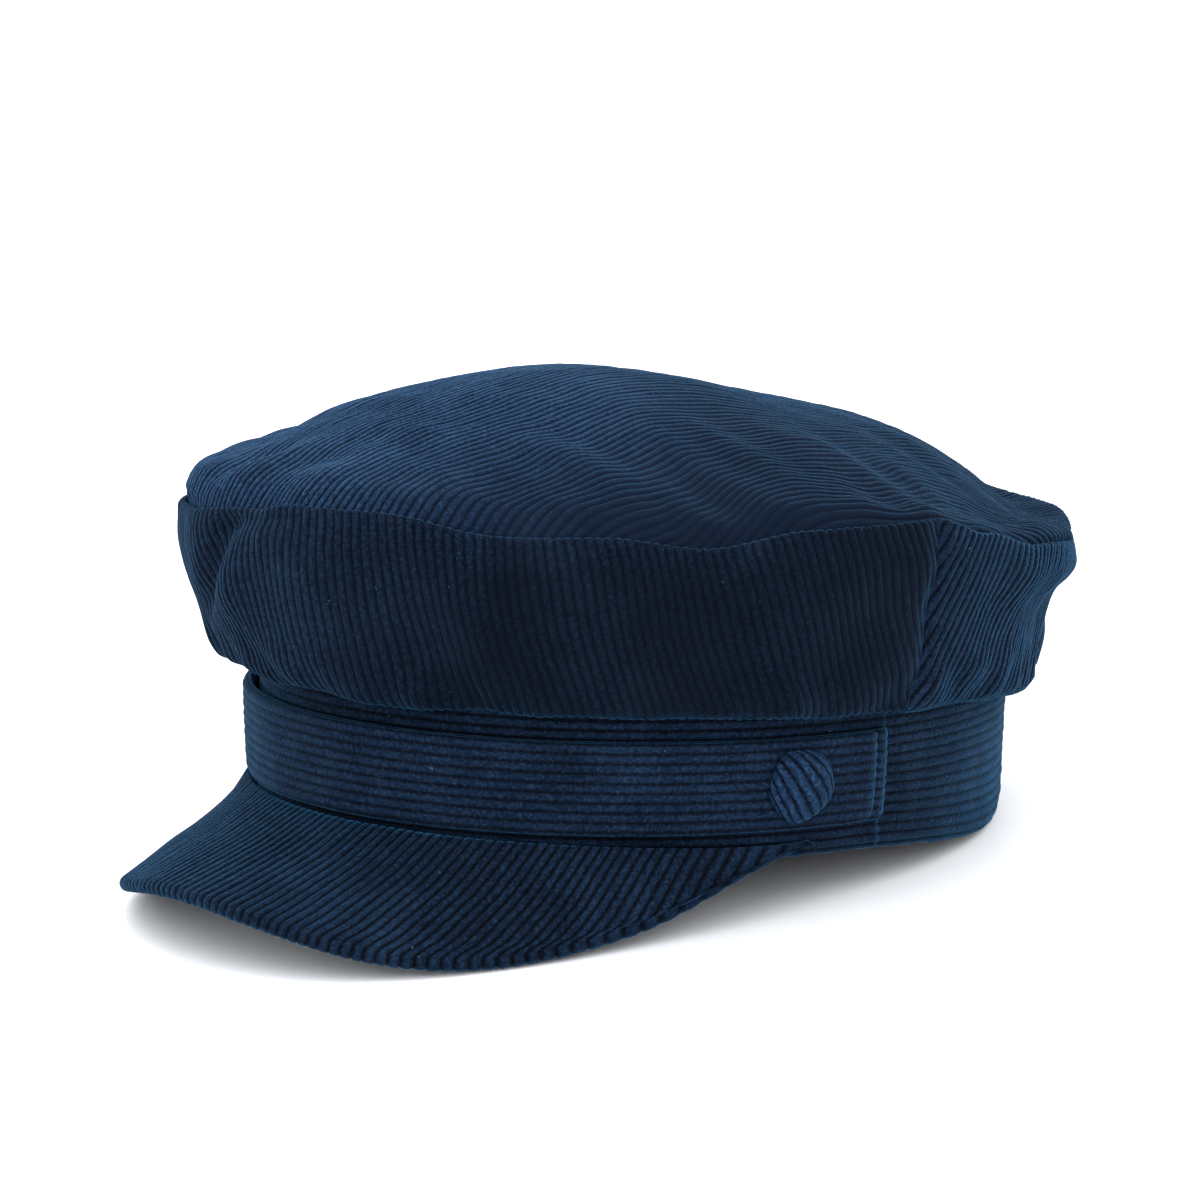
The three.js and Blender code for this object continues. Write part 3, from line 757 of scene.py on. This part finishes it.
def peak_outward(x):
    """At the peak's edge: the unit way out of the edge, and the unit way up, square to the surface."""
    step = 0.05
    edge = peak_middle(x + step, peak_reach(x + step)) - peak_middle(x - step, peak_reach(x - step))
    forward = peak_middle(x, peak_reach(x)) - peak_middle(x, peak_reach(x) - 1.0)
    edge = unit(edge)
    out = forward - edge * (forward * edge).sum(-1, keepdims=True)
    return unit(out), upright(forward, edge)


def peak_up(x, reach):
    """The unit way up, square to the peak's surface."""
    step = 0.4
    side = peak_middle(x + step, reach) - peak_middle(x - step, reach)
    return upright(peak_middle(x, reach + step) - peak_middle(x, reach - step), side)


def peak_top_point(x, share):
    """The top cover: share 0 to 1 runs forward over the peak, 1 to 2 round its edge, 2 to 3 under it."""
    x, share = np.broadcast_arrays(np.clip(x, -PEAK_END, PEAK_END), share)
    reach = peak_reach(x)
    out, up_edge = peak_outward(x)
    over = np.clip(share, 0, 1)
    spot = peak_middle(x, reach * over)
    near_edge = smooth(0.8, 1.0, over)[..., None]
    up = peak_up(x, reach * over) * (1 - near_edge) + up_edge * near_edge
    thin = PEAK_HALF_THICK * (1 - 0.6 * smooth(0.93, 1.0, peak_side(x)))[..., None]
    centre = spot - out * thin * smooth(0.75, 1.0, over)[..., None]
    turn = np.clip(share - 1, 0, 1)[..., None] * math.pi
    back = np.clip(share - 2, 0, 1)[..., None] * np.minimum(PEAK_TURN_UNDER, reach)[..., None]
    return centre + thin * (np.cos(turn) * up + np.sin(turn) * out) - back * (out - 0.12 * up)


def peak_columns():
    """Even steps across the peak along its curved surface, and the wale value at each."""
    x = np.linspace(-PEAK_END, PEAK_END, 801)
    line_y = peak_middle(x, peak_reach(x) * 0.55)[:, 1]
    step = 0.5

    def height_at(x, y):
        root_y = oval(ROOT_OUT, peak_angle(x), 0.0)[..., 1]
        return peak_middle(x, root_y - y)[..., 2]

    lateral = (height_at(x + step, line_y) - height_at(x - step, line_y)) / (2 * step)
    lateral = np.clip(lateral, -1.4, 1.4)
    along = np.concatenate([[0], np.cumsum(np.sqrt(1 + lateral[:-1] ** 2) * np.diff(x))])
    even = np.linspace(0, along[-1], int(along[-1] / WALE_PITCH * COLUMNS_PER_WALE))
    return np.interp(even, along, x), even / WALE_PITCH


def peak_cover(name):
    """The cover on top, round the edge and a little way under the peak."""
    x, across = peak_columns()
    over, roll, under = np.linspace(0, 1, 34), np.linspace(1, 2, 9)[1:], np.linspace(2, 3, 5)[1:]
    share, x = grid(np.concatenate([over, roll, under]), x)
    return corduroy_piece(name, peak_top_point, x, share, across[None, :], share * 20, PEAK_STEPS, thick=0.9,
                          coarse=(2, 8), outward=-1, relief=0.88)


def peak_lining(name):
    """The cloth under the peak, sewn just inside the top cover's turned edge."""
    x, across = peak_columns()
    share, x = grid(np.linspace(0, 1, 30), x * LINING_REACH)

    def place(x, share):
        reach = np.maximum(peak_reach(x) - 3.4, 0.3) * share
        return peak_middle(x, reach) - peak_up(x, reach) * (PEAK_HALF_THICK - 1.1)

    return corduroy_piece(name, place, x, share, across[None, :], share * 40, PEAK_STEPS, thick=0.6)


def peak_board(name):
    """The stiff board between the two covers, which gives the peak its shape."""
    share, x = grid(np.linspace(0.04, 1, 24), peak_columns()[0][::5] * BOARD_REACH)

    def place(x, share):
        return peak_middle(x, np.maximum(peak_reach(x) - 3.0, 0.3) * share)

    return plain_piece(name, place, x, share, x, share * PEAK_REACH, PEAK_STEPS, BOARD_THICK,
                       outward=-1, rise=BOARD_THICK / 2)


# ---------------- the buttons

BUTTON_PROFILE = [(0.0, 1.0), (0.35, 0.96), (0.66, 0.8), (0.88, 0.52), (0.985, 0.22), (0.99, 0.06),
                  (0.9, -0.04), (0.72, -0.05)]
BUTTON_WALE_TURN = math.radians(124)
BUTTON_PATTERN = 1.42
BUTTON_MARGIN = 0.999


def button_axes(name):
    """Middle, across, up and outward of a button, in the cap's frame, from its joint."""
    turn = next(j for j in frame["joints"] if j["name"] == name)
    middle = to_cap(turn["pos_m"])
    outward = np.array(turn["axis"]) @ CAP_AXES.T
    up = np.array([0.0, 0.0, 1.0])
    up = unit(up - outward * up.dot(outward))
    return middle, np.cross(up, outward), up, outward


def button_cover(name, joint_name, node):
    """A disc of corduroy over a button's shell. The wales slant the same way, seen in a mirror, on both."""
    middle, across_way, up, outward = button_axes(joint_name)
    points = cad_points(node) - middle
    radius = np.hypot(points @ across_way, points @ up).max()
    low, high = (points @ outward).min(), (points @ outward).max()
    pattern = radius * BUTTON_PATTERN
    lean = BUTTON_WALE_TURN if middle[0] > 0 else math.pi - BUTTON_WALE_TURN

    def place(x, y):
        share = np.clip(np.hypot(x, y) / pattern, 0, 1)
        turn = np.arctan2(y, x)
        out_share, rise_share = round_curve(BUTTON_PROFILE, share)
        uneven = 1 + 0.025 * np.sin(3 * turn + 1.0) + 0.02 * np.sin(5 * turn + 2.0)
        out = out_share * radius * uneven
        rise = low + rise_share * (high - low)
        spread = out[..., None] * (np.cos(turn + lean)[..., None] * across_way
                                   + np.sin(turn + lean)[..., None] * up)
        return middle + spread + rise[..., None] * outward

    y = wale_columns(pattern * BUTTON_MARGIN, per_wale=9)[None, :]
    half = np.sqrt(pattern ** 2 - y ** 2)
    x = half * np.linspace(-1, 1, 50)[:, None]
    y = np.broadcast_to(y, x.shape)
    return corduroy_piece(name, place, x, y, y / WALE_PITCH + 0.2, x, (0.05, 0.05), thick=0.5, coarse=(4, 4))


# ---------------- inside the cap

def ring_strip(name, section, thick):
    """A smooth strip all the way round, from a section of (out, height) points, outside first."""
    share, angle = grid(np.linspace(0, 1, 24), all_round(240))

    def place(angle, share):
        out, height = round_curve(section, np.clip(share, 0, 1))
        return oval(out + band_curl(angle, height), angle, height + band_slump(angle, height))

    return plain_piece(name, place, angle, share, around(angle), share * curve_length(section), SMALL_STEPS,
                       thick, ring=True, outward=-1)


SWEATBAND_THICK = 0.8
CANVAS_THICK = 0.7
CANVAS_FACE = INSIDE_FACE + 1.2
SWEATBAND_SECTION = [(INSIDE_FACE, BAND_TOP + 2.0), (INSIDE_FACE, 26.0), (INSIDE_FACE, 12.0),
                     (INSIDE_FACE + 0.1, 3.0), (INSIDE_FACE + 0.5, 0.4)]
CANVAS_SECTION = [(CANVAS_FACE, BAND_TOP - 2.0), (CANVAS_FACE, 24.0), (CANVAS_FACE, 12.0),
                  (INSIDE_FACE + 1.25, 2.4)]
LABEL_WIDTH = 34.0
LABEL_HEIGHT = 18.0
LABEL_MIDDLE = 20.0
LABEL_THICK = 0.4


def size_label(name):
    """A blank woven label on the sweatband at the back, slightly domed between its stitched edges."""
    up, across = grid(np.linspace(-1, 1, 25), np.linspace(-1, 1, 45))

    def place(across, up):
        half_turn = LABEL_WIDTH / 2 / (HALF_LENGTH * 0.82)
        angle = -math.pi / 2 + across * half_turn
        rounded = 1 - np.maximum(np.abs(across) ** 6, np.abs(up) ** 6)
        edge = np.maximum(bump(np.abs(across), 0.93, 0.03), bump(np.abs(up), 0.88, 0.05))
        raised = 0.35 * rounded - 0.15 * edge
        return oval(INSIDE_FACE - 0.65 - raised, angle, LABEL_MIDDLE + up * LABEL_HEIGHT / 2)

    return plain_piece(name, place, across, up, across * LABEL_WIDTH / 2, up * LABEL_HEIGHT / 2,
                       (0.01, 0.01), LABEL_THICK)


LINING_WALK = 0.92
LINING_DROP = 3.6
LINING_PROFILE = [(-3.0, 37.4), (0.4, 38.6), (3.6, 41.0), (5.4, 45.5), (6.6, 51.0), (8.6, 57.0),
                  (10.6, 63.0), (11.6, 69.0)]


def lining_side(name, start_angle):
    """Half of the lining of the side crown, a little inside it."""
    share, angle = grid(np.linspace(0, 1, 30), start_angle + np.linspace(0.002, math.pi - 0.002, 260))

    def place(angle, share):
        out, height = round_curve(LINING_PROFILE, np.clip(share, 0, 1))
        level = smooth(40, 48, height) * (1 - smooth(62, 68, height))
        creases = 0.5 * ripples(around(angle), height * 0.5, 13, seed=61) * level
        waved = height + seam_wave(angle) * smooth(40, LINING_PROFILE[-1][1], height) ** 2
        return oval(out + creases, angle, waved) + crown_shift(height)

    return plain_piece(name, place, angle, share, around(angle), share * curve_length(LINING_PROFILE),
                       SMALL_STEPS, SATIN_THICK, outward=-1)


def lining_top(name):
    """The lining of the crown's top, which hangs a little below it."""
    share, angle = grid(np.linspace(0.001, 1, 60), all_round(240))
    reach = LINING_PROFILE[-1][0] - 0.6

    def place(angle, share):
        walk = np.clip(share, 0, 1) * LINING_WALK
        above = top_point(walk * TOP_HALF_WIDTH * np.cos(angle), -walk * TOP_HALF_LENGTH * np.sin(angle))
        edge = oval(reach, angle, LINING_PROFILE[-1][1] + seam_wave(angle)) + CROWN_SHIFT
        at_edge = smooth(0.9, 1.0, share)[..., None]
        creases = 0.4 * ripples(above[..., 0], above[..., 1], 22, seed=62)
        drop = np.stack([0 * creases, 0 * creases, creases - LINING_DROP], -1)
        return (above + drop) * (1 - at_edge) + edge * at_edge

    spot = place(angle, share)
    width, length = (2 * (half + reach) * FLAT_SHARE for half in (HALF_WIDTH, HALF_LENGTH))
    return plain_piece(name, place, angle, share, spot[..., 0], spot[..., 1], (0.002, 0.0005), SATIN_THICK,
                       ring=True, cut=(width, length, math.pi / 4 * width * length))


# ---------------- materials

class Look:
    """A material under construction: most of its methods add a node and return its output socket."""

    def __init__(self, name):
        self.material = bpy.data.materials.new(name)
        self.material.use_nodes = True
        tree = self.material.node_tree
        self.nodes, self.links, self.shader = tree.nodes, tree.links, tree.nodes["Principled BSDF"]

    def feed(self, socket, value):
        """Puts a number, a colour or another node's output on a socket."""
        if isinstance(value, (int, float)):
            socket.default_value = value
        elif isinstance(value, tuple):
            socket.default_value = (*value, 1)
        else:
            self.links.new(value, socket)

    def set(self, **values):
        """Values of the shader's own sockets, with _ for each space in their names."""
        for name, value in values.items():
            self.feed(self.shader.inputs[name.replace("_", " ")], value)

    def add(self, kind, **inputs):
        """A new node, with a number or another node's output on each of the named inputs."""
        node = self.nodes.new("ShaderNode" + kind)
        for name, value in inputs.items():
            self.feed(node.inputs[name], value)
        return node

    def math(self, operation, *operands):
        """One sum on numbers or sockets."""
        node = self.add("Math")
        node.operation = operation
        for socket, value in zip(node.inputs, operands):
            self.feed(socket, value)
        return node.outputs[0]

    def noise(self, scale, detail=2.0, roughness=0.5, vector=None, stretch=None):
        """Noise on the object's own coordinates, in metres, or on another vector; stretch scales its axes."""
        vector = vector or self.add("TexCoord").outputs["Object"]
        if stretch:
            mapping = self.add("Mapping", Vector=vector)
            mapping.inputs["Scale"].default_value = stretch
            vector = mapping.outputs[0]
        return self.add("TexNoise", Scale=scale, Detail=detail, Roughness=roughness, Vector=vector).outputs[0]

    def ramp(self, value, *stops):
        """A colour for the value, between stops of a position and a colour or a grey."""
        node = self.add("ValToRGB")
        elements = node.color_ramp.elements
        while len(elements) < len(stops):
            elements.new(0.5)
        for element, (position, colour) in zip(elements, stops):
            element.position = position
            element.color = (*colour, 1) if isinstance(colour, tuple) else (colour, colour, colour, 1)
        self.feed(node.inputs[0], value)
        return node.outputs[0]

    def mix(self, share, first, second):
        """The first colour where the share is 0 and the second where it is 1."""
        node = self.add("Mix")
        node.data_type = "RGBA"
        for socket, value in ((node.inputs[0], share), (node.inputs[6], first), (node.inputs[7], second)):
            self.feed(socket, value)
        return node.outputs[2]

    def bump(self, height, strength, distance):
        """Bump on the shader; the distance is in millimetres."""
        node = self.add("Bump", Strength=strength, Distance=distance * MM, Height=height)
        self.set(Normal=node.outputs[0])

    def wale_mark(self):
        """The wale number across the cloth, the millimetres along it, and the share of painted light on the pile:
        1 at full brightness, less where shade is painted in.
        """
        mark = self.add("Attribute")
        mark.attribute_name = "wale"
        vector = mark.outputs["Vector"]
        return vector, *self.add("SeparateXYZ", Vector=vector).outputs


# The first colour is the painted shade in the grooves.
PILE_GROOVE_SHADE = (0.0004, 0.0009, 0.0022)
PILE_DARK = (0.0010, 0.0024, 0.0060)
PILE_MID = (0.0028, 0.0074, 0.0182)
PILE_LIGHT = (0.0080, 0.0215, 0.0470)
PILE_SHEEN = (0.055, 0.27, 0.54)
LINT = (0.11, 0.15, 0.19)


def toned(colour, tone):
    """A colour made lighter or darker."""
    return tuple(part * tone for part in colour)


def corduroy_material(name, tone, sheen, groove_shade=1.0):
    """Cut pile: painted shade in the grooves, brushed streaks along the wales, crushed patches, fuzz and a few
    lint specks, all darkened by painted shade where the wale mark's third value is low. tone scales every colour,
    and the last argument is how much painted shade falls in the grooves."""
    look = Look(name)
    vector, across, _, pile = look.wale_mark()
    dark, mid, light = toned(PILE_DARK, tone), toned(PILE_MID, tone), toned(PILE_LIGHT, tone)
    to_groove = look.math("PINGPONG", across, 0.5)
    streaks = look.noise(1.0, 3.0, 0.65, vector, (3.4, 0.7, 0.0))
    patches = look.noise(48.0, 4.0, 0.6)
    tufts = look.noise(1150.0, 2.0, 0.6)
    fibres = look.noise(3200.0, 2.0, 0.7)
    brushed = look.math("MULTIPLY_ADD", streaks, 0.5, look.math("MULTIPLY", patches, 0.5))
    body = look.ramp(brushed, (0.37, dark), (0.5, mid), (0.61, light))
    fuzz = look.math("MULTIPLY_ADD", tufts, 0.5, look.math("MULTIPLY", fibres, 0.5))
    fuzz_colour = look.ramp(fuzz, (0.36, dark), (0.5, mid), (0.64, toned(light, 1.35)))
    body = look.mix(0.55, body, fuzz_colour)
    # Painted shade in the grooves: away from each wale's crest the colour darkens to a near-black groove colour.
    uneven = look.math("MULTIPLY_ADD", tufts, 0.22, -0.11)
    crest = look.ramp(look.math("ADD", to_groove, uneven), (0.02, 0), (0.34, 1))
    groove_shade_colour = look.mix(groove_shade, body, toned(PILE_GROOVE_SHADE, tone))
    pile_colour = look.mix(crest, groove_shade_colour, body)
    specks = look.ramp(look.noise(800.0, 1.0, 0.5), (0.795, 0), (0.83, 0.5))
    pile_colour = look.mix(specks, pile_colour, LINT)
    # Painted shade: where the wale mark's third value is low, the pile's colour gives way to its dark colour.
    look.set(Base_Color=look.mix(pile, dark, pile_colour))
    look.set(Roughness=look.ramp(patches, (0.3, 0.98), (0.7, 0.82)))
    look.set(Specular_IOR_Level=0.05, Sheen_Weight=sheen, Sheen_Roughness=0.24, Sheen_Tint=PILE_SHEEN)
    look.bump(look.math("MULTIPLY_ADD", streaks, 0.5, fuzz), 0.9, 0.42)
    return look.material


def woven_material(name, dark, light, threads_per_mm, roughness, sheen, depth, diagonal=False):
    """A flat weave on the piece's own millimetres: plain, or a twill with slanting ribs."""
    look = Look(name)
    _, across, along, _ = look.wale_mark()
    scale = threads_per_mm * math.pi
    if diagonal:
        across = look.math("ADD", across, along)
    warp = look.math("SINE", look.math("MULTIPLY", across, scale))
    weft = look.math("SINE", look.math("MULTIPLY", along, scale))
    weave = look.math("MULTIPLY_ADD", look.math("MULTIPLY", warp, weft), 0.35, 0.5)
    patches = look.noise(60.0, 3.0)
    tone = look.math("ADD", look.math("MULTIPLY", weave, 0.6), look.math("MULTIPLY", patches, 0.4))
    look.set(Base_Color=look.ramp(tone, (0.3, dark), (0.7, light)))
    look.set(Roughness=look.ramp(patches, (0.3, roughness), (0.7, roughness * 0.85)), Sheen_Weight=sheen)
    look.bump(weave, 0.4, depth)
    return look.material


def board_material():
    """Grey pressed board with flecks."""
    look = Look("grey_peak_board")
    flecks = look.noise(900.0, 4.0, 0.7)
    look.set(Base_Color=look.ramp(flecks, (0.35, (0.16, 0.145, 0.12)), (0.65, (0.30, 0.28, 0.24))))
    look.set(Roughness=0.85)
    look.bump(flecks, 0.3, 0.1)
    return look.material


def metal_material():
    """Plated steel with fine scratches."""
    look = Look("nickelled_steel")
    scratches = look.noise(700.0, 3.0, 0.6, None, (1.0, 1.0, 0.1))
    look.set(Base_Color=look.ramp(scratches, (0.3, (0.42, 0.40, 0.37)), (0.7, (0.62, 0.60, 0.56))))
    look.set(Roughness=look.ramp(scratches, (0.3, 0.28), (0.7, 0.42)), Metallic=1.0)
    return look.material


def thread_material():
    """Twisted navy thread."""
    look = Look("navy_thread")
    twist = look.noise(1500.0, 2.0, 0.5)
    look.set(Base_Color=look.ramp(twist, (0.3, (0.008, 0.014, 0.03)), (0.7, (0.02, 0.035, 0.07))))
    look.set(Roughness=0.6)
    look.bump(twist, 0.4, 0.1)
    return look.material


def floor_material():
    """An almost white, faintly uneven floor."""
    look = Look("pale_floor")
    grain = look.noise(90.0, 2.0)
    look.set(Base_Color=look.ramp(grain, (0.3, (0.955, 0.96, 0.965)), (0.7, (0.965, 0.97, 0.975))))
    look.set(Roughness=0.55)
    return look.material


# ---------------- camera, light and floor

VIEW_AZIMUTH = math.radians(46.5)
VIEW_ELEVATION = math.radians(10.8)
VIEW_TILT = math.radians(3.28)
VIEW_DISTANCE = 1.0
LENS = 120
SKY_COLOUR = (0.95, 0.97, 1.0, 1)
SKY_STRENGTH = 1.95
FLOOR_HALF = 8.0


def make_camera():
    """The photograph's camera. Its angles are against a table on which the cap leans back by VIEW_TILT, so
    they are turned into the cap's own frame first."""
    cos, sin = math.cos, math.sin
    back = np.array([sin(VIEW_AZIMUTH) * cos(VIEW_ELEVATION), -cos(VIEW_AZIMUTH) * cos(VIEW_ELEVATION),
                     sin(VIEW_ELEVATION)])
    right = np.array([cos(VIEW_AZIMUTH), sin(VIEW_AZIMUTH), 0.0])
    up = np.cross(back, right)
    tilt = np.array(Matrix.Rotation(VIEW_TILT, 3, "X"))
    back, right, up = [(tilt @ way) @ CAP_AXES for way in (back, right, up)]
    data = bpy.data.cameras.new("camera")
    data.sensor_width = 36
    data.lens = LENS
    data.clip_start = 0.05
    data.clip_end = 50
    camera = bpy.data.objects.new("camera", data)
    middle = np.array((CAD_BOX[0] + CAD_BOX[1]) / 2)
    turn = Matrix(np.stack([right, up, back], 1).tolist()).to_4x4()
    camera.matrix_world = Matrix.Translation(middle + back * VIEW_DISTANCE) @ turn
    bpy.context.scene.collection.objects.link(camera)
    bpy.context.scene.camera = camera


def area_light(name, place, aim, size, watts):
    """A square lamp at a place, turned to aim at another."""
    data = bpy.data.lights.new(name, "AREA")
    data.size = size
    data.energy = watts
    light = bpy.data.objects.new(name, data)
    light.location = place
    light.rotation_mode = "QUATERNION"
    light.rotation_quaternion = (Vector(aim) - Vector(place)).to_track_quat("-Z", "Y")
    bpy.context.scene.collection.objects.link(light)


def make_studio():
    """White surroundings, a soft light from above and a pale floor."""
    world = bpy.data.worlds.new("studio")
    bpy.context.scene.world = world
    world.use_nodes = True
    shade = world.node_tree.nodes["Background"]
    shade.inputs["Color"].default_value = SKY_COLOUR
    shade.inputs["Strength"].default_value = SKY_STRENGTH
    area_light("top_softbox", place=(-0.2, 0.15, 1.5), aim=(0, 0, 0.05), size=1.8, watts=9)
    side = FLOOR_HALF
    corners = [(-side, -side, 0), (side, -side, 0), (side, side, 0), (-side, side, 0)]
    mesh = bpy.data.meshes.new("floor")
    mesh.from_pydata(corners, [], [(0, 1, 2, 3)])
    floor = bpy.data.objects.new("floor", mesh)
    bpy.context.scene.collection.objects.link(floor)
    floor.data.materials.append(floor_material())


# ---------------- putting the cap together


def finish_piece(piece, body, material, slot, node, held=None, *rests_on):
    """Gives a piece its material and its body, and hides the CAD node it stands for. The peak's pieces get no
    body: their placing is baked into their mesh. held is not used."""
    piece.data.materials.append(material)
    if body == "peak":
        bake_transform(piece)
    else:
        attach(piece, body)
    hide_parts(node)


bpy.context.scene.view_settings.view_transform = "Standard"
make_camera()
make_studio()
# Lit and shaded copies of one corduroy. The side front's copy is darker with less sheen: painted shade. The top's
# copy, also used on the buttons, and the strap face's copy have a lighter base colour: painted light.
CORDUROY = corduroy_material("navy_corduroy", 1.28, 0.75)
CORDUROY_SHADED = corduroy_material("navy_corduroy_shaded", 1.15, 0.42, 0.8)
CORDUROY_LIT_TOP = corduroy_material("navy_corduroy_lit_top", 2.9, 0.5, 1.0)
CORDUROY_LIT_STRAP = corduroy_material("navy_corduroy_lit_strap", 1.45, 0.6, 0.85)
SATIN = woven_material("navy_satin_lining", (0.010, 0.012, 0.018), (0.022, 0.027, 0.038),
                       threads_per_mm=3.0, roughness=0.34, sheen=0.1, depth=0.03)
TWILL = woven_material("navy_twill_sweatband", (0.008, 0.010, 0.018), (0.022, 0.028, 0.045),
                       threads_per_mm=1.2, roughness=0.8, sheen=0.3, depth=0.12, diagonal=True)
CANVAS = woven_material("natural_canvas", (0.42, 0.39, 0.33), (0.62, 0.58, 0.50),
                        threads_per_mm=1.4, roughness=0.9, sheen=0.1, depth=0.15)
LABEL = woven_material("grey_label_weave", (0.32, 0.33, 0.34), (0.50, 0.51, 0.52),
                       threads_per_mm=3.2, roughness=0.6, sheen=0.1, depth=0.05)
METAL = metal_material()
THREAD = thread_material()
BOARD = board_material()

finish_piece(side_panel("side_of_crown_front", 0.0), "cap", CORDUROY_SHADED, "corduroy",
             "crown_side_front", "gathered", "band")
finish_piece(side_panel("side_of_crown_back", math.pi), "cap", CORDUROY, "corduroy",
             "crown_side_back", "gathered", "band")
finish_piece(top_panel("top_of_crown"), "cap", CORDUROY_LIT_TOP, "corduroy",
             "crown_top", "gathered", "side_of_crown_front", "side_of_crown_back")
finish_piece(band_cover("band"), "cap", CORDUROY, "corduroy", "band_cover", "stretched", "band_canvas")
finish_piece(strap_strip("strap_front", "strap_face", STRAP_FOOT, STRAP_HEAD, 0.0, STRAP_CORNER),
             "strap", CORDUROY_LIT_STRAP, "corduroy", "strap_face", "folded", "strap_back")
finish_piece(strap_strip("strap_back", "strap_backing", STRAP_FOOT - 0.2, STRAP_HEAD + 0.2, 0.9, 0.8),
             "strap", CORDUROY, "corduroy", "strap_backing", "folded", "band")
finish_piece(peak_cover("peak_top"), "peak", CORDUROY, "corduroy",
             "peak_top_cover", "stretched", "peak_stiffener")
finish_piece(peak_lining("peak_underside"), "peak", CORDUROY, "corduroy",
             "peak_under_cover", "stretched", "peak_stiffener")
finish_piece(peak_board("peak_stiffener"), "peak", BOARD, "peak_board", "peak_board")
for button in ("left_button", "right_button"):
    finish_piece(button_cover(button, button + "_turn", button + "_cover"), button, CORDUROY_LIT_TOP, "corduroy",
                 button + "_cover", "stretched", button + "_shell")
finish_piece(ring_strip("band_canvas", CANVAS_SECTION, CANVAS_THICK), "cap", CANVAS, "canvas_interlining",
             "band_interlining", "stretched", "twill_sweatband")
finish_piece(ring_strip("twill_sweatband", SWEATBAND_SECTION, SWEATBAND_THICK), "cap", TWILL,
             "sweatband_twill", "sweatband", "stretched", "band_canvas")
finish_piece(size_label("blank_label"), "cap", LABEL, "label_weave", "size_label", "laid", "twill_sweatband")
for half, start in (("front", 0.0), ("back", math.pi)):
    finish_piece(lining_side("lining_" + half, start), "cap", SATIN, "satin_lining",
                 "lining_side_" + half, "hung", "side_of_crown_" + half)
finish_piece(lining_top("lining_crown"), "cap", SATIN, "satin_lining", "lining_top", "hung", "top_of_crown")
for name, node in frame["nodes"].items():
    node.data.materials.clear()
    node.data.materials.append(THREAD if "stitch" in name else METAL)
